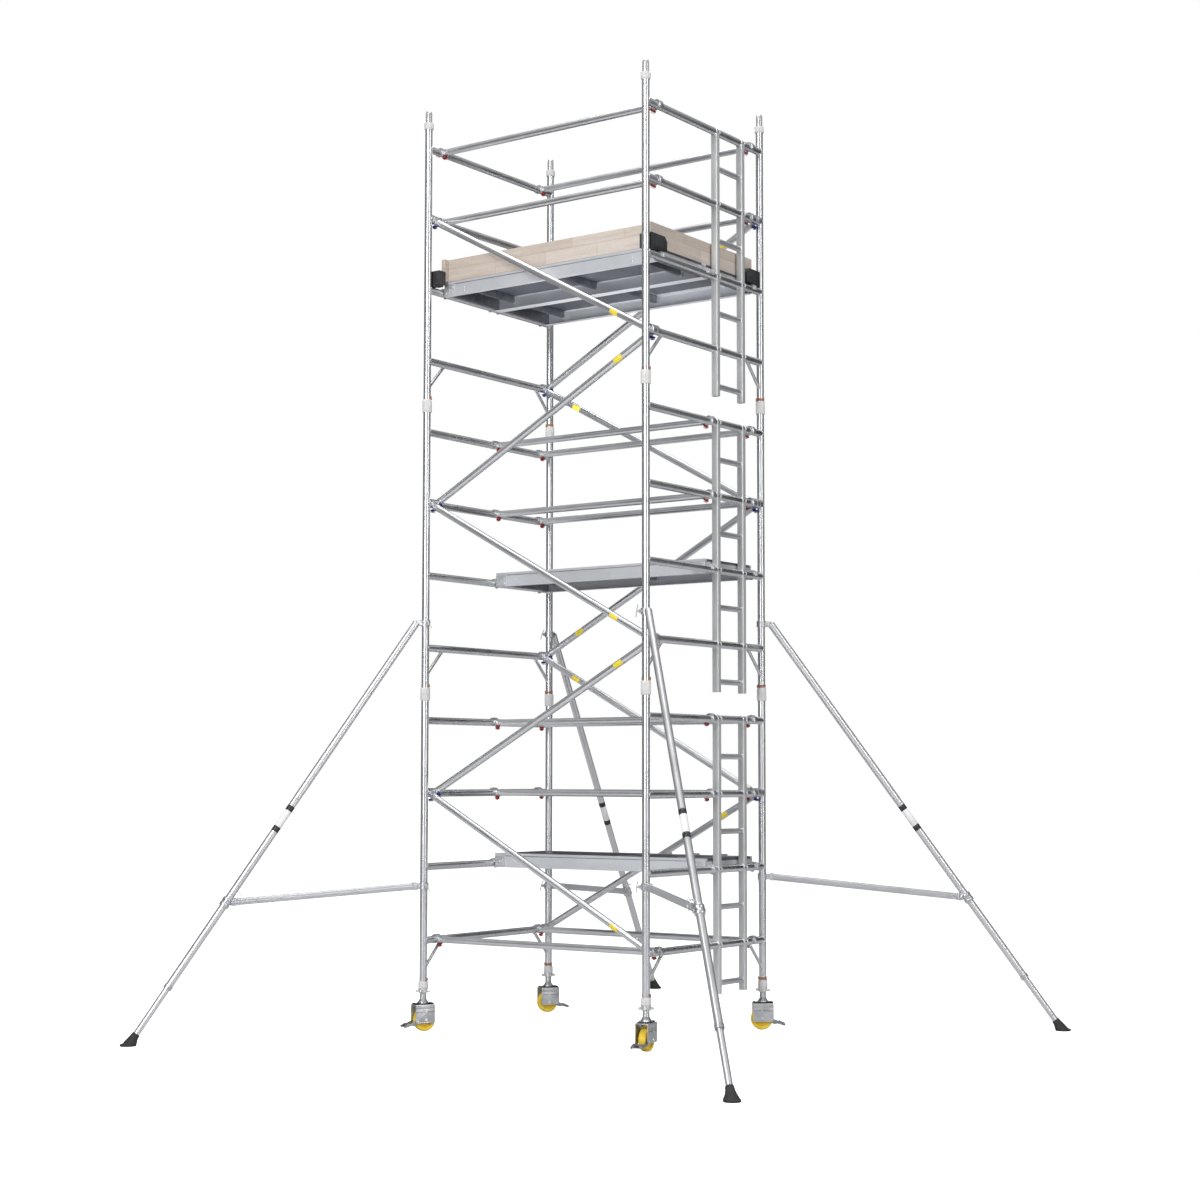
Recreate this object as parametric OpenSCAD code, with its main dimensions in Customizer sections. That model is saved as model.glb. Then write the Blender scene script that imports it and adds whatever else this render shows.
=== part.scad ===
// Mobile tower scaffold: two end frames of stacked tubes, braces, four decks, castors and stabilisers.
// Millimetres, +Z up. Origin: on the floor at the middle of the four posts.
// +X runs along the bay to the ladder end, -Y is the open front.

/* [Tower] */
// Distance between the end frames, post centre to post centre
bay_l = 1850; // [1500:10:2500]
// Distance between the two posts of an end frame
frame_w = 1400; // [1200:10:1500]
// Height of one lift of frame
lift = 2000; // [1500:50:2000]
// Height of the lowest rung above the floor
rung_1_z = 610; // [560:5:700]
// Distance from one rung to the next
rung_pitch = 500; // [400:10:500]
// Height of the lowest frame edge above the floor
frame_z = 290; // [280:5:340]

/* [Tubes] */
// Outside diameter of a post
post_d = 50.8; // [48:0.1:52]
// Outside diameter of a rung
rung_d = 50; // [38:0.1:50]
// Wall of the posts and rungs
tube_t = 2.2; // [1.6:0.1:3]
// Outside diameter of a brace
brace_d = 46; // [38:0.1:48]
// Outside diameter of a knee brace
knee_d = 22; // [16:0.5:30]
// Outside diameter of a ladder rung
step_d = 38; // [28:0.5:45]
// Straight outside diameter of a spigot
spigot_d = 45.4; // [44:0.1:46]
// Height of a spigot above its post
spigot_h = 85; // [60:1:120]

/* [Ladder] */
// Centre of the ladder stile nearer the front
stile_1_y = 130; // [60:1:200]
// Centre of the ladder stile nearer the rear
stile_2_y = 448; // [380:1:520]
// Stile depth along the bay
stile_x = 48; // [30:1:49]
// Stile width across the bay
stile_y = 38; // [25:1:45]

/* [Decks] */
// Width of a deck
deck_w = 580; // [500:5:600]
// Front edge of the rear decks
deck_rear_y = 35; // [20:1:60]
// Front edge of the front deck
deck_front_y = -555; // [-600:1:-500]
// Height of a deck edge beam
beam_h = 100; // [80:1:120]
// Height of the walking surface above the rung it hangs on
deck_up = 73; // [60:1:90]
// Low end of the hatch along the bay
hatch_x0 = 130; // [0:5:300]
// High end of the hatch along the bay
hatch_x1 = 800; // [600:5:840]
// Thickness of the deck panels
panel_t = 12; // [9:1:15]
// Height of a toe board
toe_h = 155; // [150:1:200]
// Thickness of a toe board
toe_t = 32; // [20:1:40]

/* [Castors] */
// Wheel diameter
wheel_d = 150; // [125:5:200]
// Width of the tyre
wheel_w = 54; // [40:1:60]
// Outside diameter of an adjustable leg
leg_d = 45.4; // [38:0.1:46]
// Height of the top of a castor housing
housing_z = 181; // [175:1:230]
// Outside width of a castor housing
housing_w = 90; // [80:1:100]
// Heading of the front left brake pedal
heading_fl = -117; // [-180:1:180]
// Heading of the front right brake pedal
heading_fr = -80; // [-180:1:180]
// Heading of the rear right brake pedal
heading_rr = 38; // [-180:1:180]
// Heading of the rear left brake pedal
heading_rl = 60; // [-180:1:180]

/* [Stabilisers] */
// Outside diameter of the outer tube
stab_d = 50; // [48:0.1:52]
// Outside diameter of the sliding inner tube
inner_d = 42; // [38:0.1:44]
// Direction the front left stabiliser points
stab_a_fl = -121; // [-180:1:180]
// Direction the front right stabiliser points
stab_a_fr = -42.4; // [-180:0.1:180]
// Direction the rear right stabiliser points
stab_a_rr = 33.2; // [-180:0.1:180]
// Direction the rear left stabiliser points
stab_a_rl = 99.7; // [-180:0.1:180]
// Distance from post to foot, front left
reach_fl = 1981; // [1500:1:2400]
// Distance from post to foot, front right
reach_fr = 2072; // [1500:1:2400]
// Distance from post to foot, rear right
reach_rr = 2040; // [1500:1:2400]
// Distance from post to foot, rear left
reach_rl = 1867; // [1500:1:2400]
// Height of the upper post clamps
clamp_up_z = 2780; // [2700:1:2900]
// Height of the lower post clamp, front left
low_fl = 980; // [920:1:1045]
// Height of the lower post clamp, front right
low_fr = 1030; // [920:1:1045]
// Height of the lower post clamp, rear right
low_rr = 1040; // [920:1:1045]
// Height of the lower post clamp, rear left
low_rl = 920; // [920:1:1045]
// Height where the arm meets the tube, front left
arm_fl = 900; // [780:1:1045]
// Height where the arm meets the tube, front right
arm_fr = 970; // [780:1:1045]
// Height where the arm meets the tube, rear right
arm_rr = 900; // [780:1:1045]
// Height where the arm meets the tube, rear left
arm_rl = 812; // [780:1:1045]

/* [Hidden] */
$fn = 48;

px = bay_l / 2;
py = frame_w / 2;
post_bore = post_d - 2 * tube_t;
end_x = px - 30;
cross_t = 30;
hinge_back = 42;
hinge_up = 6;
claw_w = 38;
claw_reach = 52;
diag_near = 55;
diag_far = 95;
rail_in = 135;
wheel_back = 8;
wheel_z = wheel_d / 2;
hub_w = 58;
pivot_x = 50;
pivot_z = 70;
race_d = 90;
leg_top = 840;
run = 0.05;
gap = 0.1;

function rung_z(n) = rung_1_z + rung_pitch * (n - 1);
function frame_bottom(k) = frame_z + lift * k;

// ---------- helpers ----------

module pipe(d, t, h) {
    difference() {
        cylinder(d = d, h = h);
        translate([0, 0, -1]) cylinder(d = d - 2 * t, h = h + 2);
    }
}

// a pipe in the X-Z or Y-Z plane from one point to another, both given as [across, up]
module slant_pipe(a, b, d, t) {
    len = norm(b - a);
    tilt = atan2(b[0] - a[0], b[1] - a[1]);
    translate([a[0], 0, a[1]]) rotate([0, tilt, 0]) pipe(d, t, len);
}

module corners() {
    for (sx = [-1, 1], sy = [-1, 1]) translate([sx * px, sy * py, 0]) children();
}

// ---------- end frames ----------

module frame_rung(z) {
    difference() {
        translate([0, 2 - py, z]) rotate([-90, 0, 0]) pipe(rung_d, tube_t, frame_w - 4);
        for (s = [-1, 1]) translate([0, s * py, z - 60]) cylinder(d = post_d + 2 * gap, h = 120);
    }
}

module knee(z, s) {
    difference() {
        translate([0, s * py, z]) scale([1, -s, 1]) rotate([0, 0, 90])
            slant_pipe([0, -200], [190, 0], knee_d, 2);
        translate([0, s * py, z - 300]) cylinder(d = post_d + 2 * gap, h = 400);
        translate([0, -py, z]) rotate([-90, 0, 0]) cylinder(d = rung_d + 2 * gap, h = frame_w);
    }
}

module end_frame(k) {
    for (s = [-1, 1]) translate([0, s * py, frame_bottom(k)]) pipe(post_d, tube_t, lift);
    for (i = [1:4]) frame_rung(rung_z(4 * k + i));
    for (s = [-1, 1]) knee(rung_z(4 * k + 1), s);
}

module stile_piece(y, z0, z1) {
    difference() {
        translate([-stile_x / 2, y - stile_y / 2, z0]) cube([stile_x, stile_y, z1 - z0]);
        translate([2.5 - stile_x / 2, y - stile_y / 2 + 2.5, z0 - 1])
            cube([stile_x - 5, stile_y - 5, z1 - z0 + 2]);
        for (z = [z0, z1]) translate([0, y - 40, z]) rotate([-90, 0, 0])
            cylinder(d = rung_d + 2 * gap, h = 80);
    }
}

module stile_foot(y, z0, z1) {
    difference() {
        translate([-stile_x / 2, y - stile_y / 2, z0]) cube([stile_x, stile_y, z1 - z0]);
        translate([2.5 - stile_x / 2, y - stile_y / 2 + 2.5, z0 - 1])
            cube([stile_x - 5, stile_y - 5, z1 - z0 + 2]);
        translate([0, y - 40, z1]) rotate([-90, 0, 0]) cylinder(d = rung_d + 2 * gap, h = 80);
    }
}

module ladder_step(z) {
    y0 = stile_1_y + stile_y / 2 + gap;
    translate([0, y0, z]) rotate([-90, 0, 0]) pipe(step_d, 2, stile_2_y - stile_y / 2 - gap - y0);
}

module ladder(k) {
    for (y = [stile_1_y, stile_2_y]) {
        stile_foot(y, frame_bottom(k), rung_z(4 * k + 1));
        for (i = [1:3]) stile_piece(y, rung_z(4 * k + i), rung_z(4 * k + i + 1));
    }
    ladder_step(rung_z(4 * k + 1) - rung_pitch / 2);
    for (i = [1:3]) ladder_step(rung_z(4 * k + i) + rung_pitch / 2);
}

module span_end(k) {
    translate([-px, 0, 0]) end_frame(k);
}

module ladder_end(k) {
    translate([px, 0, 0]) end_frame(k);
    translate([px, 0, 0]) ladder(k);
}

module spigot(z) {
    translate([0, 0, z]) difference() {
        union() {
            translate([0, 0, -120]) cylinder(d = post_bore, h = 120);
            cylinder(d = spigot_d, h = spigot_h - 15);
            translate([0, 0, spigot_h - 15]) cylinder(d1 = spigot_d, d2 = 38, h = 15);
        }
        translate([0, 0, -121]) cylinder(d = 34, h = spigot_h + 122);
    }
}

module socket_ring(z, h) {
    translate([0, 0, z]) difference() {
        cylinder(d = 66, h = h);
        translate([0, 0, -1]) cylinder(d = post_d + 2 * gap, h = h + 2);
    }
}

module clip(z, s) {
    translate([0, 0, z]) difference() {
        union() {
            cylinder(d = 60, h = 16);
            translate([-7, -s * 26 - 17, 2]) cube([14, 34, 12]);
        }
        translate([0, 0, -1]) cylinder(d = post_d + 2 * gap, h = 18);
        translate([0, s * 12, -1]) translate([-40, s > 0 ? 0 : -40, 0]) cube([80, 40, 18]);
    }
}

// ---------- braces ----------

// drawn with the rung centre at the origin and the brace leaving along +X, tilted by a
module claw(a) {
    rotate([90, 0, 0]) linear_extrude(height = claw_w, center = true) difference() {
        union() {
            circle(r = 37);
            rotate(a) translate([0, -18]) square([claw_reach, 36]);
        }
        circle(r = 25.1);
        polygon([[0, 0], [40, -52], [0, -90], [-70, -60], [-60, -40]]);
    }
}

module catch_lever(a) {
    rotate([90, 0, 0]) linear_extrude(height = 22, center = true) rotate(a) difference() {
        polygon([[12, -46], [24, -50], [52, -36], [52, -18], [30, -18]]);
        circle(r = 37.3);
    }
}

// a brace from the rung at x = -px, height z0, to the rung at x = +px, height z1
module brace(y, z0, z1) {
    a = atan2(z1 - z0, bay_l);
    translate([-px, y, z0]) claw(a);
    translate([px, y, z1]) mirror([1, 0, 0]) claw(-a);
    translate([-px, y, z0]) rotate([0, 90 - a, 0]) translate([0, 0, claw_reach + gap])
        pipe(brace_d, 2, norm([bay_l, z1 - z0]) - 2 * claw_reach - 2 * gap);
}

module brace_catches(y, z0, z1) {
    a = atan2(z1 - z0, bay_l);
    translate([-px, y, z0]) catch_lever(a);
    translate([px, y, z1]) mirror([1, 0, 0]) catch_lever(-a);
}

module rails(y_list, n_list) {
    for (y = y_list, n = n_list) brace(y, rung_z(n), rung_z(n));
}

module rail_catches(y_list, n_list) {
    for (y = y_list, n = n_list) brace_catches(y, rung_z(n), rung_z(n));
}

rail_front = rail_in - py;
rail_rear = py - rail_in + 5;
rear_near = py - 45;
rear_far = py - 83.5;
rail_middle = 55;

// ---------- decks ----------

module beam(y, s) {
    translate([-end_x, y, 0]) rotate([90, 0, 90]) linear_extrude(height = 2 * end_x) scale([s, 1])
        polygon([[0, 0], [30, 0], [30, 5], [5, 5], [5, beam_h - 14], [22, beam_h - 14],
                 [22, beam_h], [0, beam_h], [-3, beam_h - 4], [-3, beam_h - 12], [0, beam_h - 16]]);
}

module cross_beam(x, y0) {
    translate([x, y0 + 30 + gap, deck_up - 14 - 50]) cube([24, deck_w - 60 - 2 * gap, 50]);
}

module hook(y) {
    translate([px, y, 0]) rotate([90, 0, 0]) linear_extrude(height = 24, center = true) difference() {
        union() {
            circle(r = 36);
            translate([gap - 30, -26]) square([12, 62]);
        }
        circle(r = rung_d / 2 + 0.1);
        translate([gap - 60, -60]) square([30, 120]);
        translate([-25, -70]) square([90, 66]);
    }
}

module wind_lock(y) {
    translate([px, y, 0]) rotate([90, 0, 0]) linear_extrude(height = 10, center = true) difference() {
        circle(r = 33);
        circle(r = rung_d / 2 + 0.2);
        translate([-60, -10]) square([120, 60]);
        translate([8, -60]) square([60, 120]);
        translate([-60, -60]) square([30, 120]);
    }
}

module deck_frame(y0, n, hatched) {
    translate([0, 0, rung_z(n)]) {
        translate([0, 0, deck_up - beam_h]) beam(y0, 1);
        translate([0, 0, deck_up - beam_h]) beam(y0 + deck_w, -1);
        for (s = [0, 1]) mirror([s, 0, 0]) {
            translate([end_x - cross_t, y0 + 5 + gap, deck_up - 14 - 75 - gap]) difference() {
                cube([cross_t, deck_w - 10 - 2 * gap, 75]);
                translate([-1, 25, -1]) cube([cross_t - 4, deck_w - 60, 70]);
            }
            hook(y0 + 20);
            hook(y0 + deck_w - 20);
        }
        for (x = hatched ? [-730, hatch_x0 - 26] : [-730, 0, 706]) cross_beam(x, y0);
        if (hatched) {
            cross_beam(hatch_x1 + 2, y0);
            translate([hatch_x0, y0 + deck_w - hinge_back, deck_up - 14 + gap])
                cube([hatch_x1 - hatch_x0, hinge_back - 22 - gap, 14 - 2 * gap]);
        }
    }
}

module deck_locks(y0, n) {
    translate([0, 0, rung_z(n)]) for (s = [0, 1]) mirror([s, 0, 0]) {
        wind_lock(y0 + 40);
        wind_lock(y0 + deck_w - 40);
    }
}

module panel(x0, x1, y0, n) {
    translate([x0, y0 + 22, rung_z(n) + deck_up - panel_t - 1])
        cube([x1 - x0, deck_w - 44, panel_t]);
}

module hinge_axis(n) {
    translate([0, deck_rear_y + deck_w - hinge_back, rung_z(n) + deck_up + hinge_up])
        rotate([0, 90, 0]) children();
}

knuckles = [200, 430, 660];

// the fixed half of a hatch hinge: knuckles and pin
module hinge_fixed(n) {
    for (x = knuckles) {
        hinge_axis(n) translate([0, 0, x]) pipe(12, 3, 30);
        translate([x, deck_rear_y + deck_w - hinge_back + 3, rung_z(n) + deck_up])
            difference() {
                cube([30, 10, 3]);
                translate([-1, -3, 6]) rotate([0, 90, 0]) cylinder(d = 12, h = 32);
            }
        hinge_axis(n) translate([0, 0, x - 32]) cylinder(d = 6, h = 94);
    }
}

module hatch(n) {
    y1 = deck_rear_y + deck_w - hinge_back;
    z1 = rung_z(n) + deck_up;
    translate([hatch_x0 + 4, deck_rear_y + 26, z1 - panel_t - 1])
        cube([hatch_x1 - hatch_x0 - 8, deck_w - 26 - hinge_back - 8, panel_t]);
    for (x = knuckles, s = [-30.5, 30.5]) difference() {
        union() {
            hinge_axis(n) translate([0, 0, x + s]) cylinder(d = 12, h = 30);
            translate([x + s, y1 - 50, z1 - 1]) cube([30, 47, 4]);
        }
        hinge_axis(n) translate([0, 0, x + s - 1]) cylinder(d = 6 + 2 * run, h = 32);
    }
}

// ---------- toe boards ----------

toe_z = rung_z(10) + deck_up;
toe_x = end_x - 3;

module toe_end_board() {
    translate([toe_x - toe_t, deck_front_y - 40, toe_z + 0.5])
        cube([toe_t, deck_rear_y + deck_w + 30 - deck_front_y + 40, toe_h]);
}

module toe_side_board(y) {
    translate([1 + toe_t - toe_x, y, toe_z + 0.5]) cube([2 * (toe_x - toe_t - 1), toe_t, toe_h]);
}

// a block that holds the end of an end board: yo is its outer end, s the way it runs from there,
// len its length outside the board and wrap its length around the board's end
module toe_clip(yo, s, len, wrap) {
    difference() {
        translate([px - 74, yo, rung_z(10)]) scale([1, s, 1]) union() {
            translate([0, 0, 41]) cube([94, wrap, 96]);
            translate([41, 0, 0]) rotate([90, 0, 90]) linear_extrude(height = 53)
                polygon([[0, 26], [40, 26], [40, 41], [len, 41], [len, 105], [len - 25, 137], [0, 137]]);
        }
        toe_end_board();
        translate([px - 90, deck_front_y - 3, rung_z(10)]) cube([60, deck_w + 599, deck_up]);
    }
}

// ---------- castors ----------

module at_corner(sx, sy, a) {
    translate([sx * px, sy * py, 0]) rotate([0, 0, a]) children();
}

module leg_nut() {
    translate([0, 0, 258]) difference() {
        union() {
            cylinder(d = 64, h = 31.9);
            translate([-52, -8, 2]) cube([104, 16, 16]);
            translate([-8, -52, 2]) cube([16, 104, 16]);
        }
        translate([0, 0, -1]) cylinder(d = leg_d + 2 * run, h = 40);
    }
}

module castor_leg() {
    translate([0, 0, 214 + gap]) pipe(leg_d, 4, leg_top - 214 - gap);
    translate([0, 0, housing_z + run]) cylinder(d = race_d, h = 9);
    translate([0, 0, housing_z + run + 9]) cylinder(d1 = 76, d2 = leg_d, h = 214 - housing_z - run - 9);
    translate([0, 0, 162]) cylinder(d = 20, h = housing_z + run - 162);
    translate([0, 0, 162]) difference() {
        cylinder(d = 34, h = housing_z - 6 - run - 162);
        translate([0, 0, -1]) cylinder(d = 20, h = 30);
    }
}

module side_plate(s) {
    translate([0, s * (housing_w / 2 - 2), 0]) rotate([90, 0, 0])
        linear_extrude(height = 4, center = true) difference() {
            union() {
                translate([-70, 68]) square([140, housing_z - 6 - gap - 68]);
                translate([-58, 56]) square([116, 24]);
                for (x = [-58, 58]) translate([x, 68]) circle(r = 12);
            }
            translate([-wheel_back, wheel_z]) circle(d = 12 + 2 * gap);
            translate([pivot_x, pivot_z]) circle(d = 8 + 2 * gap);
        }
}

module castor_fork() {
    difference() {
        translate([-70, -housing_w / 2, housing_z - 6]) cube([140, housing_w, 6]);
        translate([0, 0, housing_z - 7]) cylinder(d = 20 + 2 * run, h = 8);
    }
    side_plate(1);
    side_plate(-1);
    translate([-wheel_back, 0, wheel_z]) rotate([90, 0, 0])
        cylinder(d = 12, h = housing_w + 6, center = true);
    for (s = [-1, 1]) translate([-wheel_back, s * (hub_w / 2 + 6), wheel_z]) rotate([90, 0, 0])
        cylinder(d = 20, h = 11.8, center = true);
    for (s = [-1, 1]) translate([-wheel_back, s * (housing_w / 2 + 4 + gap), wheel_z]) rotate([90, 0, 0])
        difference() {
            cylinder(d = 22, h = 8, center = true);
            cylinder(d = 12 + 2 * gap, h = 10, center = true);
        }
    for (s = [-1, 1]) translate([pivot_x, s * (housing_w / 2 - 7.5), pivot_z]) rotate([90, 0, 0])
        cylinder(d = 8, h = 15, center = true);
}

module castor_wheel() {
    translate([-wheel_back, 0, wheel_z]) rotate([90, 0, 0]) difference() {
        union() {
            cylinder(d = wheel_d, h = wheel_w - 12, center = true);
            for (s = [-1, 1]) scale([1, 1, s]) translate([0, 0, wheel_w / 2 - 6])
                cylinder(d1 = wheel_d, d2 = wheel_d - 12, h = 6);
            cylinder(d = 44, h = hub_w, center = true);
        }
        cylinder(d = 12 + 2 * run, h = housing_w, center = true);
        for (s = [-1, 1]) scale([1, 1, s]) translate([0, 0, wheel_w / 2 - 8]) difference() {
            cylinder(d = 112, h = 20);
            translate([0, 0, -1]) cylinder(d = 44, h = 30);
        }
    }
}

// one pedal arm, drawn in the plane of the wheel with the pivot at the origin
module pedal_arm() {
    difference() {
        union() {
            circle(d = 18);
            polygon([[-2, 9], [8, 8], [98, -34], [96, -42], [46, -27], [28, -30], [14, -28], [-8, -5]]);
        }
        circle(d = 8 + 2 * run);
    }
}

module castor_pedal() {
    translate([pivot_x, 0, pivot_z]) {
        for (s = [-1, 1]) translate([0, s * 34, 0]) rotate([90, 0, 0])
            linear_extrude(height = 6, center = true) pedal_arm();
        translate([21, 0, -23]) rotate([90, 0, 0]) cylinder(d = 10, h = 62 - 2 * gap, center = true);
        translate([60, -41, 1.5 * gap - 16.27]) rotate([0, 25, 0]) cube([44, 82, 6]);
    }
}

// ---------- stabilisers ----------

// drawn with the post on the Z axis and the foot out along +X
function stab_start() = [66, clamp_up_z];
function stab_len(r) = norm([r - 66, clamp_up_z]);
function stab_tilt(r) = atan2(r - 66, -clamp_up_z);
function stab_u(r, z) = 66 + (r - 66) * (1 - z / clamp_up_z);

module on_stab(r) {
    translate([66, 0, clamp_up_z]) rotate([0, stab_tilt(r), 0]) children();
}

module post_clamp(z, side) {
    translate([0, 0, z]) difference() {
        union() {
            cylinder(d = 66, h = 42, center = true);
            translate([0, -17, -21]) cube([56, 34, 42]);
            translate([-11, side > 0 ? 0 : -44, -12]) cube([22, 44, 24]);
        }
        cylinder(d = post_d + 2 * run, h = 60, center = true);
    }
    translate([0, side * 44, z]) rotate([side > 0 ? -90 : 90, 0, 0]) cylinder(d = 10, h = 18);
    translate([0, side * 58, z]) rotate([0, 35, 0]) cylinder(d = 7, h = 90, center = true);
}

module arm_clamp(r, out) {
    s_arm = stab_len(r) * (1 - out / clamp_up_z);
    on_stab(r) translate([0, 0, s_arm]) difference() {
        cylinder(d = 66, h = 60, center = true);
        cylinder(d = stab_d + 2 * gap, h = 72, center = true);
    }
}

// low is the height of the post clamp and out the height where the arm meets the tube
module stabiliser(r, side, low, out) {
    s_arm = stab_len(r) * (1 - out / clamp_up_z);
    u_arm = stab_u(r, out);
    post_clamp(clamp_up_z, side);
    post_clamp(low, side);
    difference() {
        on_stab(r) pipe(stab_d, stab_d / 2 - inner_d / 2 - run, stab_len(r) * 0.87);
        translate([0, -40, clamp_up_z - 60]) cube([56 + gap, 80, 120]);
    }
    arm_clamp(r, out);
    difference() {
        slant_pipe([50, low], [u_arm, out], 46, 2.5);
        translate([-100, -60, low - 60]) cube([156 + gap, 120, 120]);
        on_stab(r) translate([0, 0, s_arm]) cylinder(d = 66 + 2 * gap, h = 240, center = true);
    }
    on_stab(r) translate([0, 0, stab_len(r) * 0.87 - 4]) difference() {
        cylinder(d = 56, h = 30, center = true);
        cylinder(d = stab_d + 2 * gap, h = 32, center = true);
    }
    on_stab(r) translate([0, 0, s_arm - 70]) rotate([90, 0, 0])
        translate([0, 0, stab_d / 2 + gap]) cylinder(d = 10, h = 22);
    on_stab(r) translate([0, -stab_d / 2 - 18, s_arm - 70]) rotate([90, 0, 0]) translate([45, 0, 0])
        rotate_extrude() translate([38, 0]) circle(r = 2);
}

module foot_leg(r) {
    on_stab(r) translate([0, 0, stab_len(r) * 0.6]) pipe(inner_d, 3, stab_len(r) * 0.4 - 84 - gap);
    intersection() {
        on_stab(r) translate([0, 0, stab_len(r) - 84]) cylinder(d1 = 48, d2 = 96, h = 130);
        translate([r - 200, -200, 0]) cube([400, 400, 400]);
    }
}

// ---------- sub-parts ----------

module span_frame_lower() color([0.78, 0.79, 0.81]) span_end(0);
module span_frame_middle() color([0.78, 0.79, 0.81]) span_end(1);
module span_frame_upper() color([0.78, 0.79, 0.81]) span_end(2);
module ladder_frame_lower() color([0.76, 0.77, 0.79]) ladder_end(0);
module ladder_frame_middle() color([0.76, 0.77, 0.79]) ladder_end(1);
module ladder_frame_upper() color([0.76, 0.77, 0.79]) ladder_end(2);
module spigots() color([0.7, 0.71, 0.73]) for (k = [1:3]) corners() spigot(frame_bottom(k));
module socket_rings() color([0.9, 0.9, 0.9]) for (k = [0:2]) corners() {
    socket_ring(frame_bottom(k), 46);
    socket_ring(frame_bottom(k + 1) - 44, 44);
}
module interlock_clips() color([0.75, 0.4, 0.2]) for (k = [0:2], sx = [-1, 1], sy = [-1, 1])
    translate([sx * px, sy * py, 0]) clip(frame_bottom(k) + 50, sy);
module base_braces() color([0.8, 0.81, 0.83]) rails([rail_front, rail_rear], [1]);
module lower_guardrails() color([0.8, 0.81, 0.83]) rails([rail_middle, rail_rear], [3, 4]);
module middle_guardrails() color([0.8, 0.81, 0.83]) rails([rail_middle, rail_rear], [7, 8]);
module top_guardrails() color([0.8, 0.81, 0.83]) rails([rail_front, rail_rear], [11, 12]);
module front_diagonals() color([0.82, 0.83, 0.85]) {
    for (n = [1, 5, 9]) brace(diag_near - py, rung_z(n + 2), rung_z(n));
    for (n = [3, 7]) brace(diag_far - py, rung_z(n), rung_z(n + 2));
}
module rear_diagonals() color([0.82, 0.83, 0.85]) {
    for (n = [1, 5, 9]) brace(rear_near, rung_z(n), rung_z(n + 2));
    for (n = [3, 7]) brace(rear_far, rung_z(n + 2), rung_z(n));
}
module red_catches() color([0.75, 0.08, 0.07]) {
    rail_catches([rail_front, rail_rear], [1, 11, 12]);
    rail_catches([rail_middle, rail_rear], [3, 4, 7, 8]);
}
module blue_catches() color([0.08, 0.12, 0.5]) {
    for (n = [1, 5, 9]) brace_catches(diag_near - py, rung_z(n + 2), rung_z(n));
    for (n = [3, 7]) brace_catches(diag_far - py, rung_z(n), rung_z(n + 2));
    for (n = [1, 5, 9]) brace_catches(rear_near, rung_z(n), rung_z(n + 2));
    for (n = [3, 7]) brace_catches(rear_far, rung_z(n + 2), rung_z(n));
}
module deck_low() color([0.75, 0.76, 0.78]) deck_frame(deck_rear_y, 2, true);
module deck_middle() color([0.75, 0.76, 0.78]) deck_frame(deck_rear_y, 6, true);
module deck_top_front() color([0.75, 0.76, 0.78]) deck_frame(deck_front_y, 10, false);
module deck_top_rear() color([0.75, 0.76, 0.78]) deck_frame(deck_rear_y, 10, true);
module deck_panels() color([0.2, 0.17, 0.15]) {
    panel(-end_x, end_x, deck_front_y, 10);
    for (n = [2, 6, 10]) {
        panel(-end_x, hatch_x0 - 1, deck_rear_y, n);
        panel(hatch_x1 + 1, end_x, deck_rear_y, n);
    }
}
module wind_locks() color([0.6, 0.6, 0.62]) {
    for (n = [2, 6, 10]) deck_locks(deck_rear_y, n);
    deck_locks(deck_front_y, 10);
}
module toe_board_front() color([0.84, 0.74, 0.62]) toe_side_board(deck_front_y - 4);
module toe_board_rear() color([0.84, 0.74, 0.62]) toe_side_board(deck_rear_y + deck_w + 4 - toe_t);
module toe_board_left() color([0.84, 0.74, 0.62]) mirror([1, 0, 0]) toe_end_board();
module toe_board_right() color([0.84, 0.74, 0.62]) toe_end_board();
module toe_board_clips() color([0.1, 0.1, 0.11]) {
    toe_clip(-665, 1, 185, 100);
    toe_clip(669, -1, 169, 47);
    mirror([1, 0, 0]) toe_clip(-665, 1, 100, 100);
    mirror([1, 0, 0]) toe_clip(669, -1, 110, 47);
}
module hatch_low() color([0.22, 0.19, 0.17]) hatch(2);
module hatch_middle() color([0.22, 0.19, 0.17]) hatch(6);
module hatch_top() color([0.22, 0.19, 0.17]) hatch(10);
module hinge_pins() color([0.6, 0.61, 0.63]) for (n = [2, 6, 10]) hinge_fixed(n);

module nut_front_left() color([0.8, 0.8, 0.78]) at_corner(-1, -1, 20) leg_nut();
module leg_front_left() color([0.7, 0.71, 0.73]) at_corner(-1, -1, 0) castor_leg();
module fork_front_left() color([0.5, 0.52, 0.54]) at_corner(-1, -1, heading_fl) castor_fork();
module wheel_front_left() color([0.9, 0.72, 0.1]) at_corner(-1, -1, heading_fl) castor_wheel();
module pedal_front_left() color([0.2, 0.2, 0.22]) at_corner(-1, -1, heading_fl) castor_pedal();
module nut_front_right() color([0.8, 0.8, 0.78]) at_corner(1, -1, 35) leg_nut();
module leg_front_right() color([0.7, 0.71, 0.73]) at_corner(1, -1, 0) castor_leg();
module fork_front_right() color([0.5, 0.52, 0.54]) at_corner(1, -1, heading_fr) castor_fork();
module wheel_front_right() color([0.9, 0.72, 0.1]) at_corner(1, -1, heading_fr) castor_wheel();
module pedal_front_right() color([0.2, 0.2, 0.22]) at_corner(1, -1, heading_fr) castor_pedal();
module nut_rear_right() color([0.8, 0.8, 0.78]) at_corner(1, 1, 10) leg_nut();
module leg_rear_right() color([0.7, 0.71, 0.73]) at_corner(1, 1, 0) castor_leg();
module fork_rear_right() color([0.5, 0.52, 0.54]) at_corner(1, 1, heading_rr) castor_fork();
module wheel_rear_right() color([0.9, 0.72, 0.1]) at_corner(1, 1, heading_rr) castor_wheel();
module pedal_rear_right() color([0.2, 0.2, 0.22]) at_corner(1, 1, heading_rr) castor_pedal();
module nut_rear_left() color([0.8, 0.8, 0.78]) at_corner(-1, 1, 60) leg_nut();
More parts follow.
